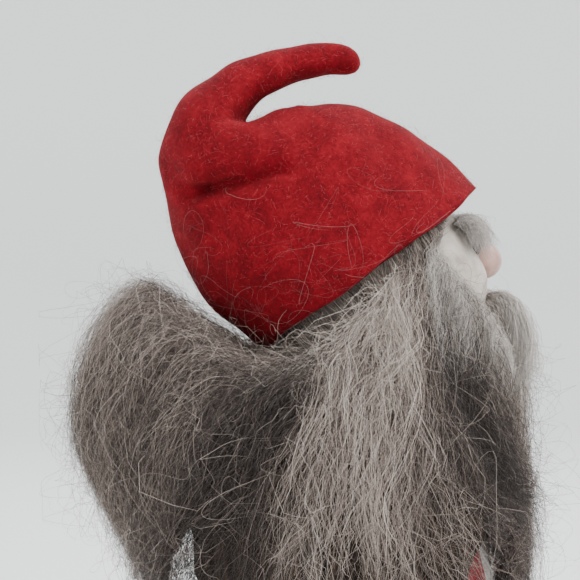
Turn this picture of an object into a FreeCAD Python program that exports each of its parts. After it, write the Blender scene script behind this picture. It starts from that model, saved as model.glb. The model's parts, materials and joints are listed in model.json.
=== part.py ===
import FreeCAD, Part
import os
import re
import Sketcher
from math import cos, pi, radians, sin

# A standing tomte figurine: a weighted cloth body on a wooden disc, a ball head with a wool wig
# and beard, and a felt cap. Millimetres, +Z up, the figure faces -Y, its left hand is at +X.
# The origin is the centre of the underside that it stands on.

SIZES = {
    # Stand and trunk
    "base_radius": 46.0,
    "base_thick": 8.0,
    "base_chamfer": 1.5,
    "socket_depth": 5.0,
    "spine_radius": 4.0,
    "ballast_high": 20.0,
    "block_radius": 15.0,
    "block_bottom": 134.0,
    "block_high": 26.0,
    "fit_gap": 0.05,
    "layer_gap": 0.4,
    # Clothes: radii of the coat's outside at named heights
    "hem_height": 4.0,
    "hem_radius": 53.0,
    "skirt_height": 45.0,
    "skirt_radius": 48.0,
    "waist_height": 90.0,
    "waist_radius": 43.0,
    "chest_height": 128.0,
    "chest_radius": 36.0,
    "shoulder_height": 148.0,
    "shoulder_radius": 30.0,
    "neck_height": 166.0,
    "neck_radius": 19.0,
    "coat_thick": 2.0,
    "smock_thick": 1.0,
    "coat_opening": 84.0,
    "collar_high": 9.0,
    "collar_thick": 2.4,
    "collar_flare": 2.0,
    "belt_wide": 10.0,
    "belt_thick": 2.0,
    "belt_drop": 16.0,
    "buckle_wide": 17.0,
    "buckle_high": 15.0,
    "buckle_bar": 2.6,
    "buckle_thick": 1.6,
    # Feet
    "boot_apart": 19.0,
    "boot_half_wide": 12.0,
    "boot_half_long": 25.0,
    "boot_high": 20.0,
    "boot_forward": 50.0,
    "sole_thick": 3.0,
    "sole_welt": 1.0,
    # Arms
    "arm_radius": 10.5,
    "wrist_radius": 9.0,
    "sleeve_long": 62.0,
    "sleeve_thick": 1.6,
    "arm_slant": 14.0,
    "arm_gap": 3.5,
    "disc_radius": 6.0,
    "disc_thick": 3.0,
    "disc_inset": 4.5,
    "pin_radius": 2.0,
    "pin_head_radius": 3.4,
    "pin_head_thick": 1.4,
    "pin_start": 8.5,
    "cuff_high": 8.0,
    "cuff_thick": 1.8,
    "mitten_long": 26.0,
    "mitten_half_wide": 8.6,
    "mitten_half_thick": 6.4,
    "thumb_radius": 3.6,
    "thumb_long": 8.0,
    # Head and neck
    "head_height": 215.0,
    "head_radius": 30.0,
    "face_thick": 1.4,
    "neck_dowel_radius": 6.0,
    "neck_dowel_deep": 18.0,
    "nose_radius": 6.0,
    "nose_rise": 8.5,
    "eye_radius": 2.2,
    "eye_apart": 10.0,
    "eye_rise": 12.5,
    "brow_half_long": 9.0,
    "brow_half_thick": 5.0,
    "brow_apart": 9.2,
    "brow_out": 5.0,
    "brow_rise": 21.0,
    "brow_slant": 12.0,
    # Wool
    "wool_thick": 8.0,
    "wig_reach": 14.0,
    "hair_inner": 70.0,
    "hair_outer": 78.0,
    "mane_outer": 92.0,
    "hair_bottom": 114.0,
    "mane_bottom": 125.0,
    "mane_belly": 172.0,
    "mane_top": 214.0,
    "hair_side_sweep": 84.0,
    "hair_side_turn": 8.0,
    "mane_sweep": 106.0,
    "beard_drop": 7.0,
    "beard_out": 12.0,
    "beard_sweep": 66.0,
    "beard_bottom": 95.0,
    "beard_tip_half": 9.0,
    "beard_top_half": 30.0,
    "moustache_thick": 4.0,
    "moustache_sweep": 34.0,
    "moustache_gap": 2.0,
    # Cap
    "cap_tilt": 35.5,
    "cap_rise": 10.0,
    "cap_thick": 1.8,
    "cap_ease": 1.8,
    "cap_wire_radius": 0.8,
}

doc = FreeCAD.newDocument("tomte")
sheet = doc.addObject("Spreadsheet::Sheet", "Sizes")
for row, (alias, number) in enumerate(SIZES.items(), 1):
    sheet.set(f"A{row}", alias)
    sheet.set(f"B{row}", str(number))
    sheet.setAlias(f"B{row}", alias)
doc.recompute()

parts = []


def size(alias):
    """A driving dimension, read back from the sheet."""
    return float(getattr(sheet, alias))


def formula(text):
    """Turns a formula in plain size names into one that reads the sheet."""
    return re.sub(r"[a-z_]+", lambda m: f"Sizes.{m[0]}" if m[0] in SIZES else m[0], str(text))


def bind(thing, **formulas):
    """Ties properties of an object to the sheet; x, y, z and turn are its placement."""
    path = {"x": "Placement.Base.x", "y": "Placement.Base.y", "z": "Placement.Base.z"}
    for name, text in formulas.items():
        if name == "turn":
            thing.setExpression("Placement.Rotation.Angle", formula(text))
        else:
            thing.setExpression(path.get(name, name), formula(text))
    return thing


def keep(thing, label):
    """Marks an object as a finished sub-part under the name of its node."""
    thing.Label = label
    parts.append(thing)
    return thing


def solid(kind, name, **formulas):
    """One of the Part primitives, with its sizes tied to the sheet."""
    return bind(doc.addObject(f"Part::{kind}", name), **formulas)


def joined(kind, name, base, tool):
    """A boolean of two objects: Cut, Fuse or Common."""
    made = doc.addObject(f"Part::{kind}", name)
    made.Base = base
    made.Tool = tool
    return made


def cut(name, base, *tools):
    for number, tool in enumerate(tools):
        base = joined("Cut", f"{name}_cut{number}", base, tool)
    return base


def turned_about(thing, axis, way=1):
    """Gives a placement its rotation axis, so that the angle alone can be tied.

    The tied angle is always positive: way=-1 turns the other way round."""
    thing.Placement.Rotation = FreeCAD.Rotation(axis * way, 1.0)
    return thing


X_AXIS, Y_AXIS, Z_AXIS = (FreeCAD.Vector(*v) for v in ((1, 0, 0), (0, 1, 0), (0, 0, 1)))


def plane_of(body, role):
    return next(f for f in body.Origin.OriginFeatures if f.Role == role)


def outline(body, name, role, points):
    """A closed sketch of straight edges whose corners are tied to the sheet."""
    sketch = body.newObject("Sketcher::SketchObject", name)
    sketch.AttachmentSupport = (plane_of(body, role), [""])
    sketch.MapMode = "FlatFace"
    places = [(20.0 + 3 * cos(i), 20.0 + i) for i in range(len(points))]
    for i in range(len(points)):
        a, b = places[i], places[(i + 1) % len(points)]
        sketch.addGeometry(
            Part.LineSegment(FreeCAD.Vector(*a, 0), FreeCAD.Vector(*b, 0)), False
        )
    for i in range(len(points)):
        sketch.addConstraint(
            Sketcher.Constraint("Coincident", i, 2, (i + 1) % len(points), 1)
        )
    for i, (across, up) in enumerate(points):
        for kind, text, axis, start in (
            ("DistanceX", across, -2, places[i][0]),
            ("DistanceY", up, -1, places[i][1]),
        ):
            if str(text) == "0":
                sketch.addConstraint(Sketcher.Constraint("PointOnObject", i, 1, axis))
            else:
                at = sketch.addConstraint(Sketcher.Constraint(kind, -1, 1, i, 1, start))
                sketch.setExpression(f"Constraints[{at}]", formula(text))
    return sketch


def turned(name, points, sweep=None, facing=0.0):
    """A lathe-turned or wrapped piece: its outline, (radius, height), swept about Z.

    A part turn is centred on the direction that facing gives, in degrees from +X."""
    body = doc.addObject("PartDesign::Body", name)
    sketch = outline(body, f"{name}_outline", "XZ_Plane", points)
    turn = body.newObject("PartDesign::Revolution", f"{name}_turn")
    turn.Profile = sketch
    turn.ReferenceAxis = (sketch, ["V_Axis"])
    turn.Midplane = True
    turn.Angle = 360.0
    if sweep:
        bind(turn, Angle=sweep)
    body.Placement = FreeCAD.Placement(FreeCAD.Vector(), FreeCAD.Rotation(Z_AXIS, facing))
    return body


def padded(name, role, points, length, both_ways=False):
    """A flat piece: its outline, thickened."""
    body = doc.addObject("PartDesign::Body", name)
    sketch = outline(body, f"{name}_outline", role, points)
    pad = body.newObject("PartDesign::Pad", f"{name}_pad")
    pad.Profile = sketch
    pad.Midplane = both_ways
    bind(pad, Length=length)
    return body


# ---------------------------------------------------------------- stand and trunk

HEIGHTS = ("hem", "skirt", "waist", "chest", "shoulder", "neck")


def wrap(inset, thick, bottom="hem_height"):
    """The outline of a layer of the clothes, inset from the coat's outside."""
    outer = [(f"{h}_radius - ({inset})", f"{h}_height") for h in HEIGHTS]
    inner = [(f"{h}_radius - ({inset}) - ({thick})", f"{h}_height") for h in HEIGHTS]
    outer[0], inner[0] = (outer[0][0], bottom), (inner[0][0], bottom)
    return outer + inner[::-1]


def shoulder_bore(name, radius):
    """A rod along X through both shoulders, to cut the pins' holes with."""
    rod = turned_about(doc.addObject("Part::Cylinder", name), Y_AXIS)
    bind(rod, Radius=radius, Height="4 * waist_radius", x="-2 * waist_radius")
    return bind(rod, z="shoulder_height", turn="90")


def make_stand():
    disc = doc.addObject("PartDesign::Body", "base_blank")
    sketch = disc.newObject("Sketcher::SketchObject", "base_blank_outline")
    sketch.AttachmentSupport = (plane_of(disc, "XY_Plane"), [""])
    sketch.MapMode = "FlatFace"
    sketch.addGeometry(Part.Circle(FreeCAD.Vector(), Z_AXIS, 40.0), False)
    sketch.addConstraint(Sketcher.Constraint("Coincident", 0, 3, -1, 1))
    at = sketch.addConstraint(Sketcher.Constraint("Radius", 0, 40.0))
    sketch.setExpression(f"Constraints[{at}]", formula("base_radius"))
    pad = disc.newObject("PartDesign::Pad", "base_blank_pad")
    pad.Profile = sketch
    bind(pad, Length="base_thick")
    doc.recompute()
    rim = [
        f"Edge{i}"
        for i, edge in enumerate(pad.Shape.Edges, 1)
        if isinstance(edge.Curve, Part.Circle)
    ]
    bevel = disc.newObject("PartDesign::Chamfer", "base_blank_bevel")
    bevel.Base = (pad, rim)
    bind(bevel, Size="base_chamfer")
    socket = solid(
        "Cylinder",
        "base_socket",
        Radius="spine_radius + fit_gap",
        Height="2 * socket_depth",
        z="base_thick - socket_depth",
    )
    keep(cut("base_disc_socketed", disc, socket), "base_disc")

    keep(
        solid(
            "Cylinder",
            "spine_dowel",
            Radius="spine_radius",
            Height="block_bottom - base_thick + 2 * socket_depth - 2 * fit_gap",
            z="base_thick - socket_depth + fit_gap",
        ),
        "spine_dowel",
    )

    bag_low, bag_high = "base_thick + layer_gap", "base_thick + ballast_high"
    bag_wide = "base_radius - coat_thick - smock_thick"
    keep(
        turned(
            "ballast_bag",
            [
                ("spine_radius + 1", bag_low),
                (f"{bag_wide} - 3", bag_low),
                (bag_wide, f"{bag_low} + 5"),
                (bag_wide, f"{bag_high} - 6"),
                (f"{bag_wide} - 4", bag_high),
                ("spine_radius + 1", bag_high),
            ],
        ),
        "ballast_bag",
    )

    block = solid(
        "Cylinder",
        "block_blank",
        Radius="block_radius",
        Height="block_high",
        z="block_bottom",
    )
    neck_bore = solid(
        "Cylinder",
        "neck_bore",
        Radius="neck_dowel_radius + fit_gap",
        Height="2 * neck_dowel_deep",
        z="block_bottom + block_high - neck_dowel_deep",
    )
    spine_bore = solid(
        "Cylinder",
        "spine_bore",
        Radius="spine_radius + fit_gap",
        Height="2 * socket_depth",
        z="block_bottom - socket_depth",
    )
    pin_bores = shoulder_bore("pin_bores", "pin_radius + fit_gap")
    keep(cut("shoulder_block", block, neck_bore, spine_bore, pin_bores), "shoulder_block")


def make_wadding():
    inset = "coat_thick + smock_thick + 2 * layer_gap"
    block_top = "block_bottom + block_high"
    bag_top = "base_thick + ballast_high + layer_gap"
    outer = [(f"{h}_radius - ({inset})", f"{h}_height") for h in HEIGHTS[1:5]]
    stuffing = turned(
        "stuffing",
        [("spine_radius + layer_gap", bag_top), (f"skirt_radius - ({inset}) - 1", bag_top)]
        + outer
        + [
            (f"block_radius + layer_gap + 1", block_top),
            ("block_radius + layer_gap", block_top),
            ("block_radius + layer_gap", "block_bottom - layer_gap"),
            ("spine_radius + layer_gap", "block_bottom - layer_gap"),
        ],
    )
    bore = shoulder_bore("stuffing_bore", "pin_radius + layer_gap")
    keep(cut("body_wadding", stuffing, bore), "body_wadding")


# ---------------------------------------------------------------- clothes


def boot_blank(name, grow, side):
    """The rounded foot shape that the boot, its sole and the smock's notch share."""
    return solid(
        "Ellipsoid",
        name,
        Radius1=f"boot_high - sole_thick + {grow}",
        Radius2=f"boot_half_long + {grow}",
        Radius3=f"boot_half_wide + {grow}",
        x=f"{side} * boot_apart",
        y="-boot_forward",
        z="sole_thick",
    )


def make_clothes():
    smock = turned("smock_blank", wrap("coat_thick + layer_gap", "smock_thick"))
    notches = [boot_blank(f"smock_notch_{n}", "1", s) for n, s in (("left", 1), ("right", -1))]
    bore = shoulder_bore("smock_bore", "pin_radius + layer_gap")
    for notch in notches:
        turned_about(notch, Z_AXIS)
        bind(notch, turn="90")
    keep(cut("smock", smock, *notches, bore), "smock")

    coat = turned("coat_blank", wrap("0", "coat_thick"), "360 - coat_opening", 90.0)
    bore = shoulder_bore("coat_bore", "pin_radius + layer_gap")
    keep(cut("coat", coat, bore), "coat")

    top = "neck_height + layer_gap"
    inside = "neck_radius - coat_thick"
    keep(
        turned(
            "collar",
            [
                (inside, top),
                (f"{inside} + collar_thick", top),
                (f"{inside} + collar_thick + collar_flare", f"{top} + collar_high"),
                (f"{inside} + collar_flare", f"{top} + collar_high"),
            ],
            "360 - coat_opening",
            90.0,
        ),
        "collar",
    )

    belt_top = "waist_height - belt_drop + belt_wide"
    # The coat is widest at the belt's lower edge, so the belt takes its bore from there.
    slope = "(skirt_radius - waist_radius) / (waist_height - skirt_height)"
    bore = f"waist_radius + belt_drop * {slope} + layer_gap"
    keep(
        turned(
            "belt",
            [
                (bore, "waist_height - belt_drop"),
                (f"{bore} + belt_thick", "waist_height - belt_drop"),
                (f"{bore} + belt_thick", belt_top),
                (bore, belt_top),
            ],
        ),
        "belt",
    )

    half_wide, half_high = "buckle_wide / 2", "buckle_high / 2"
    frame = padded(
        "buckle_blank",
        "XZ_Plane",
        [
            (f"-{half_wide}", f"-{half_high}"),
            (half_wide, f"-{half_high}"),
            (half_wide, half_high),
            (f"-{half_wide}", half_high),
        ],
        "buckle_thick",
    )
    window = padded(
        "buckle_window",
        "XZ_Plane",
        [
            (f"buckle_bar - {half_wide}", f"buckle_bar - {half_high}"),
            (f"{half_wide} - buckle_bar", f"buckle_bar - {half_high}"),
            (f"{half_wide} - buckle_bar", f"{half_high} - buckle_bar"),
            (f"buckle_bar - {half_wide}", f"{half_high} - buckle_bar"),
        ],
        "4 * buckle_thick",
        both_ways=True,
    )
    buckle = keep(cut("belt_buckle", frame, window), "belt_buckle")
    bind(
        buckle,
        y=f"-({bore} + belt_thick + layer_gap)",
        z="waist_height - belt_drop + belt_wide / 2",
    )
    prong = turned_about(doc.addObject("Part::Cylinder", "buckle_prong"), Y_AXIS)
    bind(
        prong,
        Radius="buckle_thick / 2",
        Height="buckle_wide - 2 * buckle_bar - 2 * layer_gap",
        x="layer_gap + buckle_bar - buckle_wide / 2",
        y=f"-({bore} + belt_thick + layer_gap + buckle_thick / 2)",
        z="waist_height - belt_drop + belt_wide / 2",
        turn="90",
    )
    keep(prong, "buckle_prong")


def make_boots():
    for name, side in (("left", 1), ("right", -1)):
        upper = boot_blank(f"boot_{name}_form", "0", side)
        welt = boot_blank(f"sole_{name}_form", "sole_welt", side)
        for form in (upper, welt):
            turned_about(form, Z_AXIS)
            bind(form, turn="90")
        slab = dict(
            Length="4 * boot_half_wide",
            Width="4 * boot_half_long",
            x=f"{side} * boot_apart - 2 * boot_half_wide",
            y="-boot_forward - 2 * boot_half_long",
        )
        above = solid("Box", f"boot_{name}_above", Height="3 * boot_high", z="sole_thick", **slab)
        below = solid("Box", f"sole_{name}_slab", Height="sole_thick", z="0", **slab)
        stand = solid(
            "Cylinder",
            f"boot_{name}_heel",
            Radius="base_radius + layer_gap",
            Height="4 * boot_high",
            z="-boot_high",
        )
        boot = joined("Common", f"boot_{name}_whole", upper, above)
        keep(cut(f"boot_{name}", boot, stand), f"boot_{name}")
        sole = joined("Common", f"sole_{name}_whole", welt, below)
        keep(cut(f"boot_sole_{name}", sole, stand), f"boot_sole_{name}")


# ---------------------------------------------------------------- arms

SHOULDER_X = "shoulder_radius + arm_gap + arm_radius"


def arm_form(name, inset):
    """The arm's rounded taper: shoulder at its own origin, hanging down -Z."""
    ball = solid("Sphere", f"{name}_ball", Radius=f"arm_radius - ({inset})")
    taper = solid(
        "Cone",
        f"{name}_taper",
        Radius1=f"wrist_radius - ({inset})",
        Radius2=f"arm_radius - ({inset})",
        Height="sleeve_long",
        z="-sleeve_long",
    )
    return joined("Fuse", name, ball, taper)


def hang(thing, side):
    """Puts a piece made about the shoulder's own origin on its shoulder, slanting out."""
    turned_about(thing, Y_AXIS, -side)
    return bind(thing, x=f"{side} * ({SHOULDER_X})", z="shoulder_height", turn="arm_slant")


def make_arm(name, side):
    inboard = f"{side} * ({SHOULDER_X})"

    def rod(label, radius, start, length):
        """A rod along X at the shoulder, from start outwards, measured from the trunk's centre."""
        made = turned_about(doc.addObject("Part::Cylinder", label), Y_AXIS)
        away = f"{start}" if side > 0 else f"-({start}) - ({length})"
        return bind(made, Radius=radius, Height=length, x=away, z="shoulder_height", turn="90")

    disc_start = f"({SHOULDER_X}) - disc_inset - disc_thick / 2"
    head_start = f"{disc_start} + disc_thick + layer_gap"
    pin_long = f"{head_start} - pin_start"
    shank = rod(f"pin_{name}_shank", "pin_radius", "pin_start", pin_long)
    head = rod(f"pin_{name}_head", "pin_head_radius", head_start, "pin_head_thick")
    keep(joined("Fuse", f"shoulder_pin_{name}", shank, head), f"shoulder_pin_{name}")

    blank = rod(f"disc_{name}_blank", "disc_radius", disc_start, "disc_thick")
    bore = rod(f"disc_{name}_bore", "pin_radius + fit_gap", "pin_start", "2 * waist_radius")
    keep(cut(f"arm_disc_{name}", blank, bore), f"arm_disc_{name}")

    shell = cut(
        f"sleeve_{name}_shell",
        arm_form(f"sleeve_{name}_form", "0"),
        arm_form(f"sleeve_{name}_inside", "sleeve_thick"),
    )
    mouth = solid(
        "Cylinder",
        f"sleeve_{name}_mouth",
        Radius="wrist_radius - sleeve_thick",
        Height="2 * sleeve_thick",
        z="-sleeve_long - sleeve_thick",
    )
    shell = hang(cut(f"sleeve_{name}_open", shell, mouth), side)
    hole = rod(f"sleeve_{name}_hole", "pin_radius + layer_gap", "0", SHOULDER_X)
    keep(cut(f"sleeve_{name}", shell, hole), f"sleeve_{name}")

    filling = hang(arm_form(f"arm_{name}_filling", "sleeve_thick + layer_gap"), side)
    room = rod(
        f"arm_{name}_room",
        "disc_radius + layer_gap",
        "0",
        f"{head_start} + pin_head_thick + layer_gap",
    )
    keep(cut(f"arm_wadding_{name}", filling, room), f"arm_wadding_{name}")

    cuff_low = "-sleeve_long"
    outer = solid(
        "Cylinder",
        f"cuff_{name}_outer",
        Radius="arm_radius + layer_gap + cuff_thick",
        Height="cuff_high",
        z=cuff_low,
    )
    inner = solid(
        "Cone",
        f"cuff_{name}_inner",
        Radius1="wrist_radius + layer_gap",
        Radius2="wrist_radius + layer_gap + (arm_radius - wrist_radius) * cuff_high / sleeve_long",
        Height="cuff_high",
        z=cuff_low,
    )
    keep(hang(cut(f"cuff_{name}", outer, inner), side), f"cuff_{name}")

    palm = solid(
        "Ellipsoid",
        f"mitten_{name}_palm",
        Radius1="mitten_long / 2",
        Radius2="mitten_half_thick",
        Radius3="mitten_half_wide",
        z="-sleeve_long - mitten_long / 2",
    )
    thumb = turned_about(
        solid("Cone", f"mitten_{name}_thumb", Radius1="thumb_radius", Radius2="thumb_radius * 0.7"),
        X_AXIS,
    )
    bind(
        thumb,
        Height="thumb_long",
        y="-mitten_half_wide + 2",
        z="-sleeve_long - mitten_long * 0.45",
        turn="125",
    )
    hand = joined("Fuse", f"mitten_{name}_hand", palm, thumb)
    wrist = solid(
        "Cylinder",
        f"mitten_{name}_wrist",
        Radius="3 * wrist_radius",
        Height="mitten_long",
        z="-sleeve_long - layer_gap",
    )
    keep(hang(cut(f"mitten_{name}", hand, wrist), side), f"mitten_{name}")


# ---------------------------------------------------------------- head

TILT_SIN, TILT_COS = "sin(cap_tilt * 1deg)", "cos(cap_tilt * 1deg)"


def ball(name, radius):
    return solid("Sphere", name, Radius=radius, z="head_height")


def on_head(name, lengths, across, out, rise, turn=None, way=1):
    """An ellipsoid on the head's surface in front, at a height above the head's centre."""
    thing = solid(
        "Ellipsoid",
        name,
        Radius1=lengths[2],
        Radius2=lengths[0],
        Radius3=lengths[1],
        x=across,
        y=out,
        z=f"head_height + ({rise})",
    )
    if turn:
        turned_about(thing, Y_AXIS, way)
        bind(thing, turn=turn)
    return thing


def above_cap_line(name, drop):
    """A big block whose lower face is the plane of the cap's rim, lowered by drop."""
    block = turned_about(doc.addObject("Part::Box", name), X_AXIS, -1)
    wide, off = "8 * head_radius", f"(cap_rise - ({drop}))"
    bind(block, Length=wide, Width=wide, Height=wide, turn="cap_tilt")
    # The block's low corner is half a width to -X and half a width forwards in the rim's plane.
    return bind(
        block,
        x="-4 * head_radius",
        y=f"{off} * {TILT_SIN} - 4 * head_radius * {TILT_COS}",
        z=f"head_height + {off} * {TILT_COS} + 4 * head_radius * {TILT_SIN}",
    )


WIG_RADIUS = "(head_radius + layer_gap + wool_thick)"


def cap_way(name):
    """The space that the cap sweeps as it is pulled off: a rod along its axis from the rim up."""
    rod = turned_about(doc.addObject("Part::Cylinder", name), X_AXIS, -1)
    rim = f"(sqrt({WIG_RADIUS} ^ 2 - cap_rise ^ 2) + cap_thick + cap_ease)"
    bind(rod, Radius=f"{rim} + 2 * layer_gap", Height="8 * head_radius", turn="cap_tilt")
    low = "(cap_rise - layer_gap)"
    return bind(rod, y=f"{low} * {TILT_SIN}", z=f"head_height + {low} * {TILT_COS}")


def wig_room(name):
    """The space that the wig takes, with a little clearance, to cut its neighbours with."""
    around = ball(f"{name}_ball", f"{WIG_RADIUS} + layer_gap")
    line = above_cap_line(f"{name}_line", "cap_rise + wig_reach + layer_gap")
    return joined("Common", name, around, line)


def make_head():
    core_radius = "head_radius - face_thick - layer_gap"
    bore = solid(
        "Cylinder",
        "head_bore",
        Radius="neck_dowel_radius + fit_gap",
        Height="head_radius",
        z="head_height - head_radius - 5",
    )
    keep(cut("head_core", ball("head_core_ball", core_radius), bore), "head_core")
    dowel_low = "block_bottom + block_high - neck_dowel_deep + layer_gap"
    keep(
        solid(
            "Cylinder",
            "neck_dowel",
            Radius="neck_dowel_radius",
            Height=f"head_height - 5 - layer_gap - ({dowel_low})",
            z=dowel_low,
        ),
        "neck_dowel",
    )
    neck_hole = solid(
        "Cylinder",
        "face_neck_hole",
        Radius="neck_dowel_radius + 1",
        Height="head_radius",
        z="head_height - head_radius - 5",
    )
    face = cut(
        "face_cover",
        ball("face_outside", "head_radius"),
        ball("face_inside", "head_radius - face_thick"),
        neck_hole,
    )
    keep(face, "face_cover")

    nose = on_head(
        "nose_ball",
        ["nose_radius"] * 3,
        "0",
        "-sqrt(head_radius ^ 2 - nose_rise ^ 2)",
        "nose_rise",
    )
    keep(cut("nose", nose, ball("nose_seat", "head_radius + fit_gap")), "nose")

    for name, side in (("left", 1), ("right", -1)):
        eye = on_head(
            f"eye_{name}_bead",
            ["eye_radius"] * 3,
            f"{side} * eye_apart",
            "-sqrt(head_radius ^ 2 - eye_apart ^ 2 - eye_rise ^ 2)",
            "eye_rise",
        )
        keep(cut(f"eye_{name}", eye, ball(f"eye_{name}_seat", "head_radius + fit_gap")), f"eye_{name}")

        brow = on_head(
            f"brow_{name}_tuft",
            ["brow_half_long", "brow_half_thick", "brow_half_thick"],
            f"{side} * brow_apart",
            "-sqrt(head_radius ^ 2 - brow_apart ^ 2 - brow_rise ^ 2) - brow_out",
            "brow_rise",
            "brow_slant",
            side,
        )
        seat = ball(f"brow_{name}_seat", "head_radius + layer_gap")
        # The two tufts stay clear of each other and of the cap's rim.
        line = above_cap_line(f"brow_{name}_line", "layer_gap")
        gap = solid(
            "Box",
            f"brow_{name}_gap",
            Length="layer_gap",
            Width="4 * head_radius",
            Height="4 * head_radius",
            x="-layer_gap / 2",
            y="-4 * head_radius",
            z="head_height",
        )
        far = solid(
            "Box",
            f"brow_{name}_far",
            Length="4 * head_radius",
            Width="4 * head_radius",
            Height="4 * head_radius",
            x="-4 * head_radius" if side > 0 else "0",
            y="-4 * head_radius",
            z="head_height",
        )
        keep(cut(f"eyebrow_{name}", brow, seat, line, gap, far), f"eyebrow_{name}")


def make_wool():
    shell = cut(
        "wig_shell",
        ball("wig_outside", WIG_RADIUS),
        ball("wig_inside", "head_radius + layer_gap"),
    )
    crown = joined("Common", "wig_crown", shell, above_cap_line("wig_line", "cap_rise + wig_reach"))
    temple = solid(
        "Box",
        "wig_temple",
        Length="8 * head_radius",
        Width="4 * head_radius",
        Height="8 * head_radius",
        x="-4 * head_radius",
        y="-4 * head_radius - 5",
        z="head_height - 4 * head_radius",
    )
    open_face = cut("wig_open_face", temple, above_cap_line("wig_brow_line", "0"))
    keep(cut("wig_cap", crown, open_face), "wig_cap")

    # The long wool hangs as a bell from the head; its inside clears the shoulders and arms.
    scalp = f"{WIG_RADIUS} + layer_gap"
    neck = [
        ("hair_inner - 12", "shoulder_height + arm_radius"),
        ("hair_inner - 24", "head_height - 36"),
        ("head_radius - 6", "head_height - 26"),
        ("head_radius - 6", "head_height - 18"),
    ]
    under = ["hair_inner - 4", "shoulder_height - 8"]

    mane = turned(
        "mane_blank",
        [("hair_inner - 4", "mane_bottom"), under]
        + neck
        + [
            (f"{scalp} + 6", "mane_top - 16"),
            (f"{scalp} + 14", "mane_top"),
            ("mane_outer - 20", "mane_top + 2"),
            ("mane_outer - 7", "mane_top - 12"),
            ("mane_outer", "mane_belly + 7"),
            ("mane_outer", "mane_belly - 7"),
            ("mane_outer - 8", "mane_belly - 22"),
            ("hair_inner + 3", "mane_bottom + 18"),
            ("hair_inner + 2", "mane_bottom"),
        ],
        "mane_sweep",
        90.0,
    )
    face = ball("mane_face_seat", "head_radius + layer_gap")
    keep(cut("hair_back", mane, face, wig_room("mane_seat"), cap_way("mane_way")), "hair_back")

    for name, side in (("left", 1), ("right", -1)):
        lock = turned(
            f"hair_{name}_blank",
            [("hair_inner - 1", "hair_bottom + 14"), under]
            + neck
            + [
                (f"{scalp} + 4", "head_height - 6"),
                ("hair_outer - 24", "head_height - 17"),
                ("hair_outer - 7", "head_height - 41"),
                ("hair_outer", "head_height - 70"),
                ("hair_outer", "hair_bottom + 10"),
                ("hair_outer - 3", "hair_bottom"),
                ("hair_inner", "hair_bottom"),
            ],
            "hair_side_sweep",
        )
        # The lock's middle is turned a little towards the face.
        turned_about(lock, Z_AXIS, -side)
        bind(lock, turn="hair_side_turn" if side > 0 else "180 + hair_side_turn")
        face = ball(f"hair_{name}_face_seat", "head_radius + layer_gap")
        room = wig_room(f"hair_{name}_seat")
        line = above_cap_line(f"hair_{name}_line", "layer_gap")
        keep(cut(f"hair_{name}", lock, face, room, line), f"hair_{name}")

    clear = "layer_gap + 2"
    bib = turned(
        "beard_wrap",
        [
            (f"waist_radius + {clear}", "beard_bottom"),
            (f"chest_radius + {clear}", "chest_height"),
            (f"shoulder_radius + {clear}", "shoulder_height + 6"),
            ("neck_radius + collar_thick + collar_flare + 2", "neck_height + collar_high"),
            ("head_radius - 8", "head_height - head_radius + 2"),
            ("head_radius + layer_gap", "head_height - beard_drop"),
            ("head_radius + beard_out - 4", "head_height - beard_drop - 2"),
            ("head_radius + beard_out - 4", "head_height - head_radius"),
            ("head_radius + beard_out", "shoulder_height + 8"),
            ("head_radius + beard_out + 2", "chest_height"),
            ("waist_radius + 6.5", "beard_bottom"),
        ],
        "beard_sweep",
        -90.0,
    )
    pattern = padded(
        "beard_pattern",
        "XZ_Plane",
        [
            ("-beard_tip_half", "beard_bottom - 1"),
            ("beard_tip_half", "beard_bottom - 1"),
            ("beard_top_half", "shoulder_height"),
            ("beard_top_half", "head_height"),
            ("-beard_top_half", "head_height"),
            ("-beard_top_half", "shoulder_height"),
        ],
        "8 * head_radius",
        both_ways=True,
    )
    beard = joined("Common", "beard_cut_out", bib, pattern)
    keep(cut("beard", beard, ball("beard_seat", "head_radius + layer_gap")), "beard")

    # Each half of the moustache is a roll that lies on the face, just under the nose.
    drop = "(nose_radius + moustache_thick + layer_gap - nose_rise)"
    for name, start in (("left", "270 + moustache_gap"), ("right", "270 - moustache_gap - moustache_sweep")):
        roll = turned_about(doc.addObject("Part::Torus", f"moustache_{name}"), Z_AXIS)
        bind(
            roll,
            Radius1=f"sqrt((head_radius + layer_gap + moustache_thick) ^ 2 - {drop} ^ 2)",
            Radius2="moustache_thick",
            Angle3="moustache_sweep",
            z=f"head_height - {drop}",
            turn=start,
        )
        keep(roll, f"moustache_{name}")


# ---------------------------------------------------------------- cap

# The cap's side view, in its own frame for a rim of radius 1: (along the axis, towards the
# back) of the back edge and of the front edge, and half the width across, at each fold of
# the cone. The cone leans back, doubles over at its sixth section and ends in a blunt tip.
CAP_SECTIONS = [
    ((0.00, 1.00), (0.00, -1.00), 0.98),
    ((0.52, 0.94), (0.35, -0.94), 0.83),
    ((0.89, 0.88), (0.72, -0.79), 0.73),
    ((1.14, 0.84), (1.04, -0.56), 0.66),
    ((1.33, 0.80), (1.25, -0.25), 0.59),
    ((1.63, 0.66), (1.35, 0.11), 0.49),
    ((1.75, 0.37), (1.40, 0.03), 0.39),
    ((1.70, -0.10), (1.41, -0.18), 0.28),
    ((1.59, -0.58), (1.30, -0.50), 0.20),
    ((1.38, -0.84), (1.18, -0.72), 0.12),
    ((1.32, -0.92), (1.20, -0.84), 0.06),
]
SECTION_POINTS = 16
BENDS = (5, 8)


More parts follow.
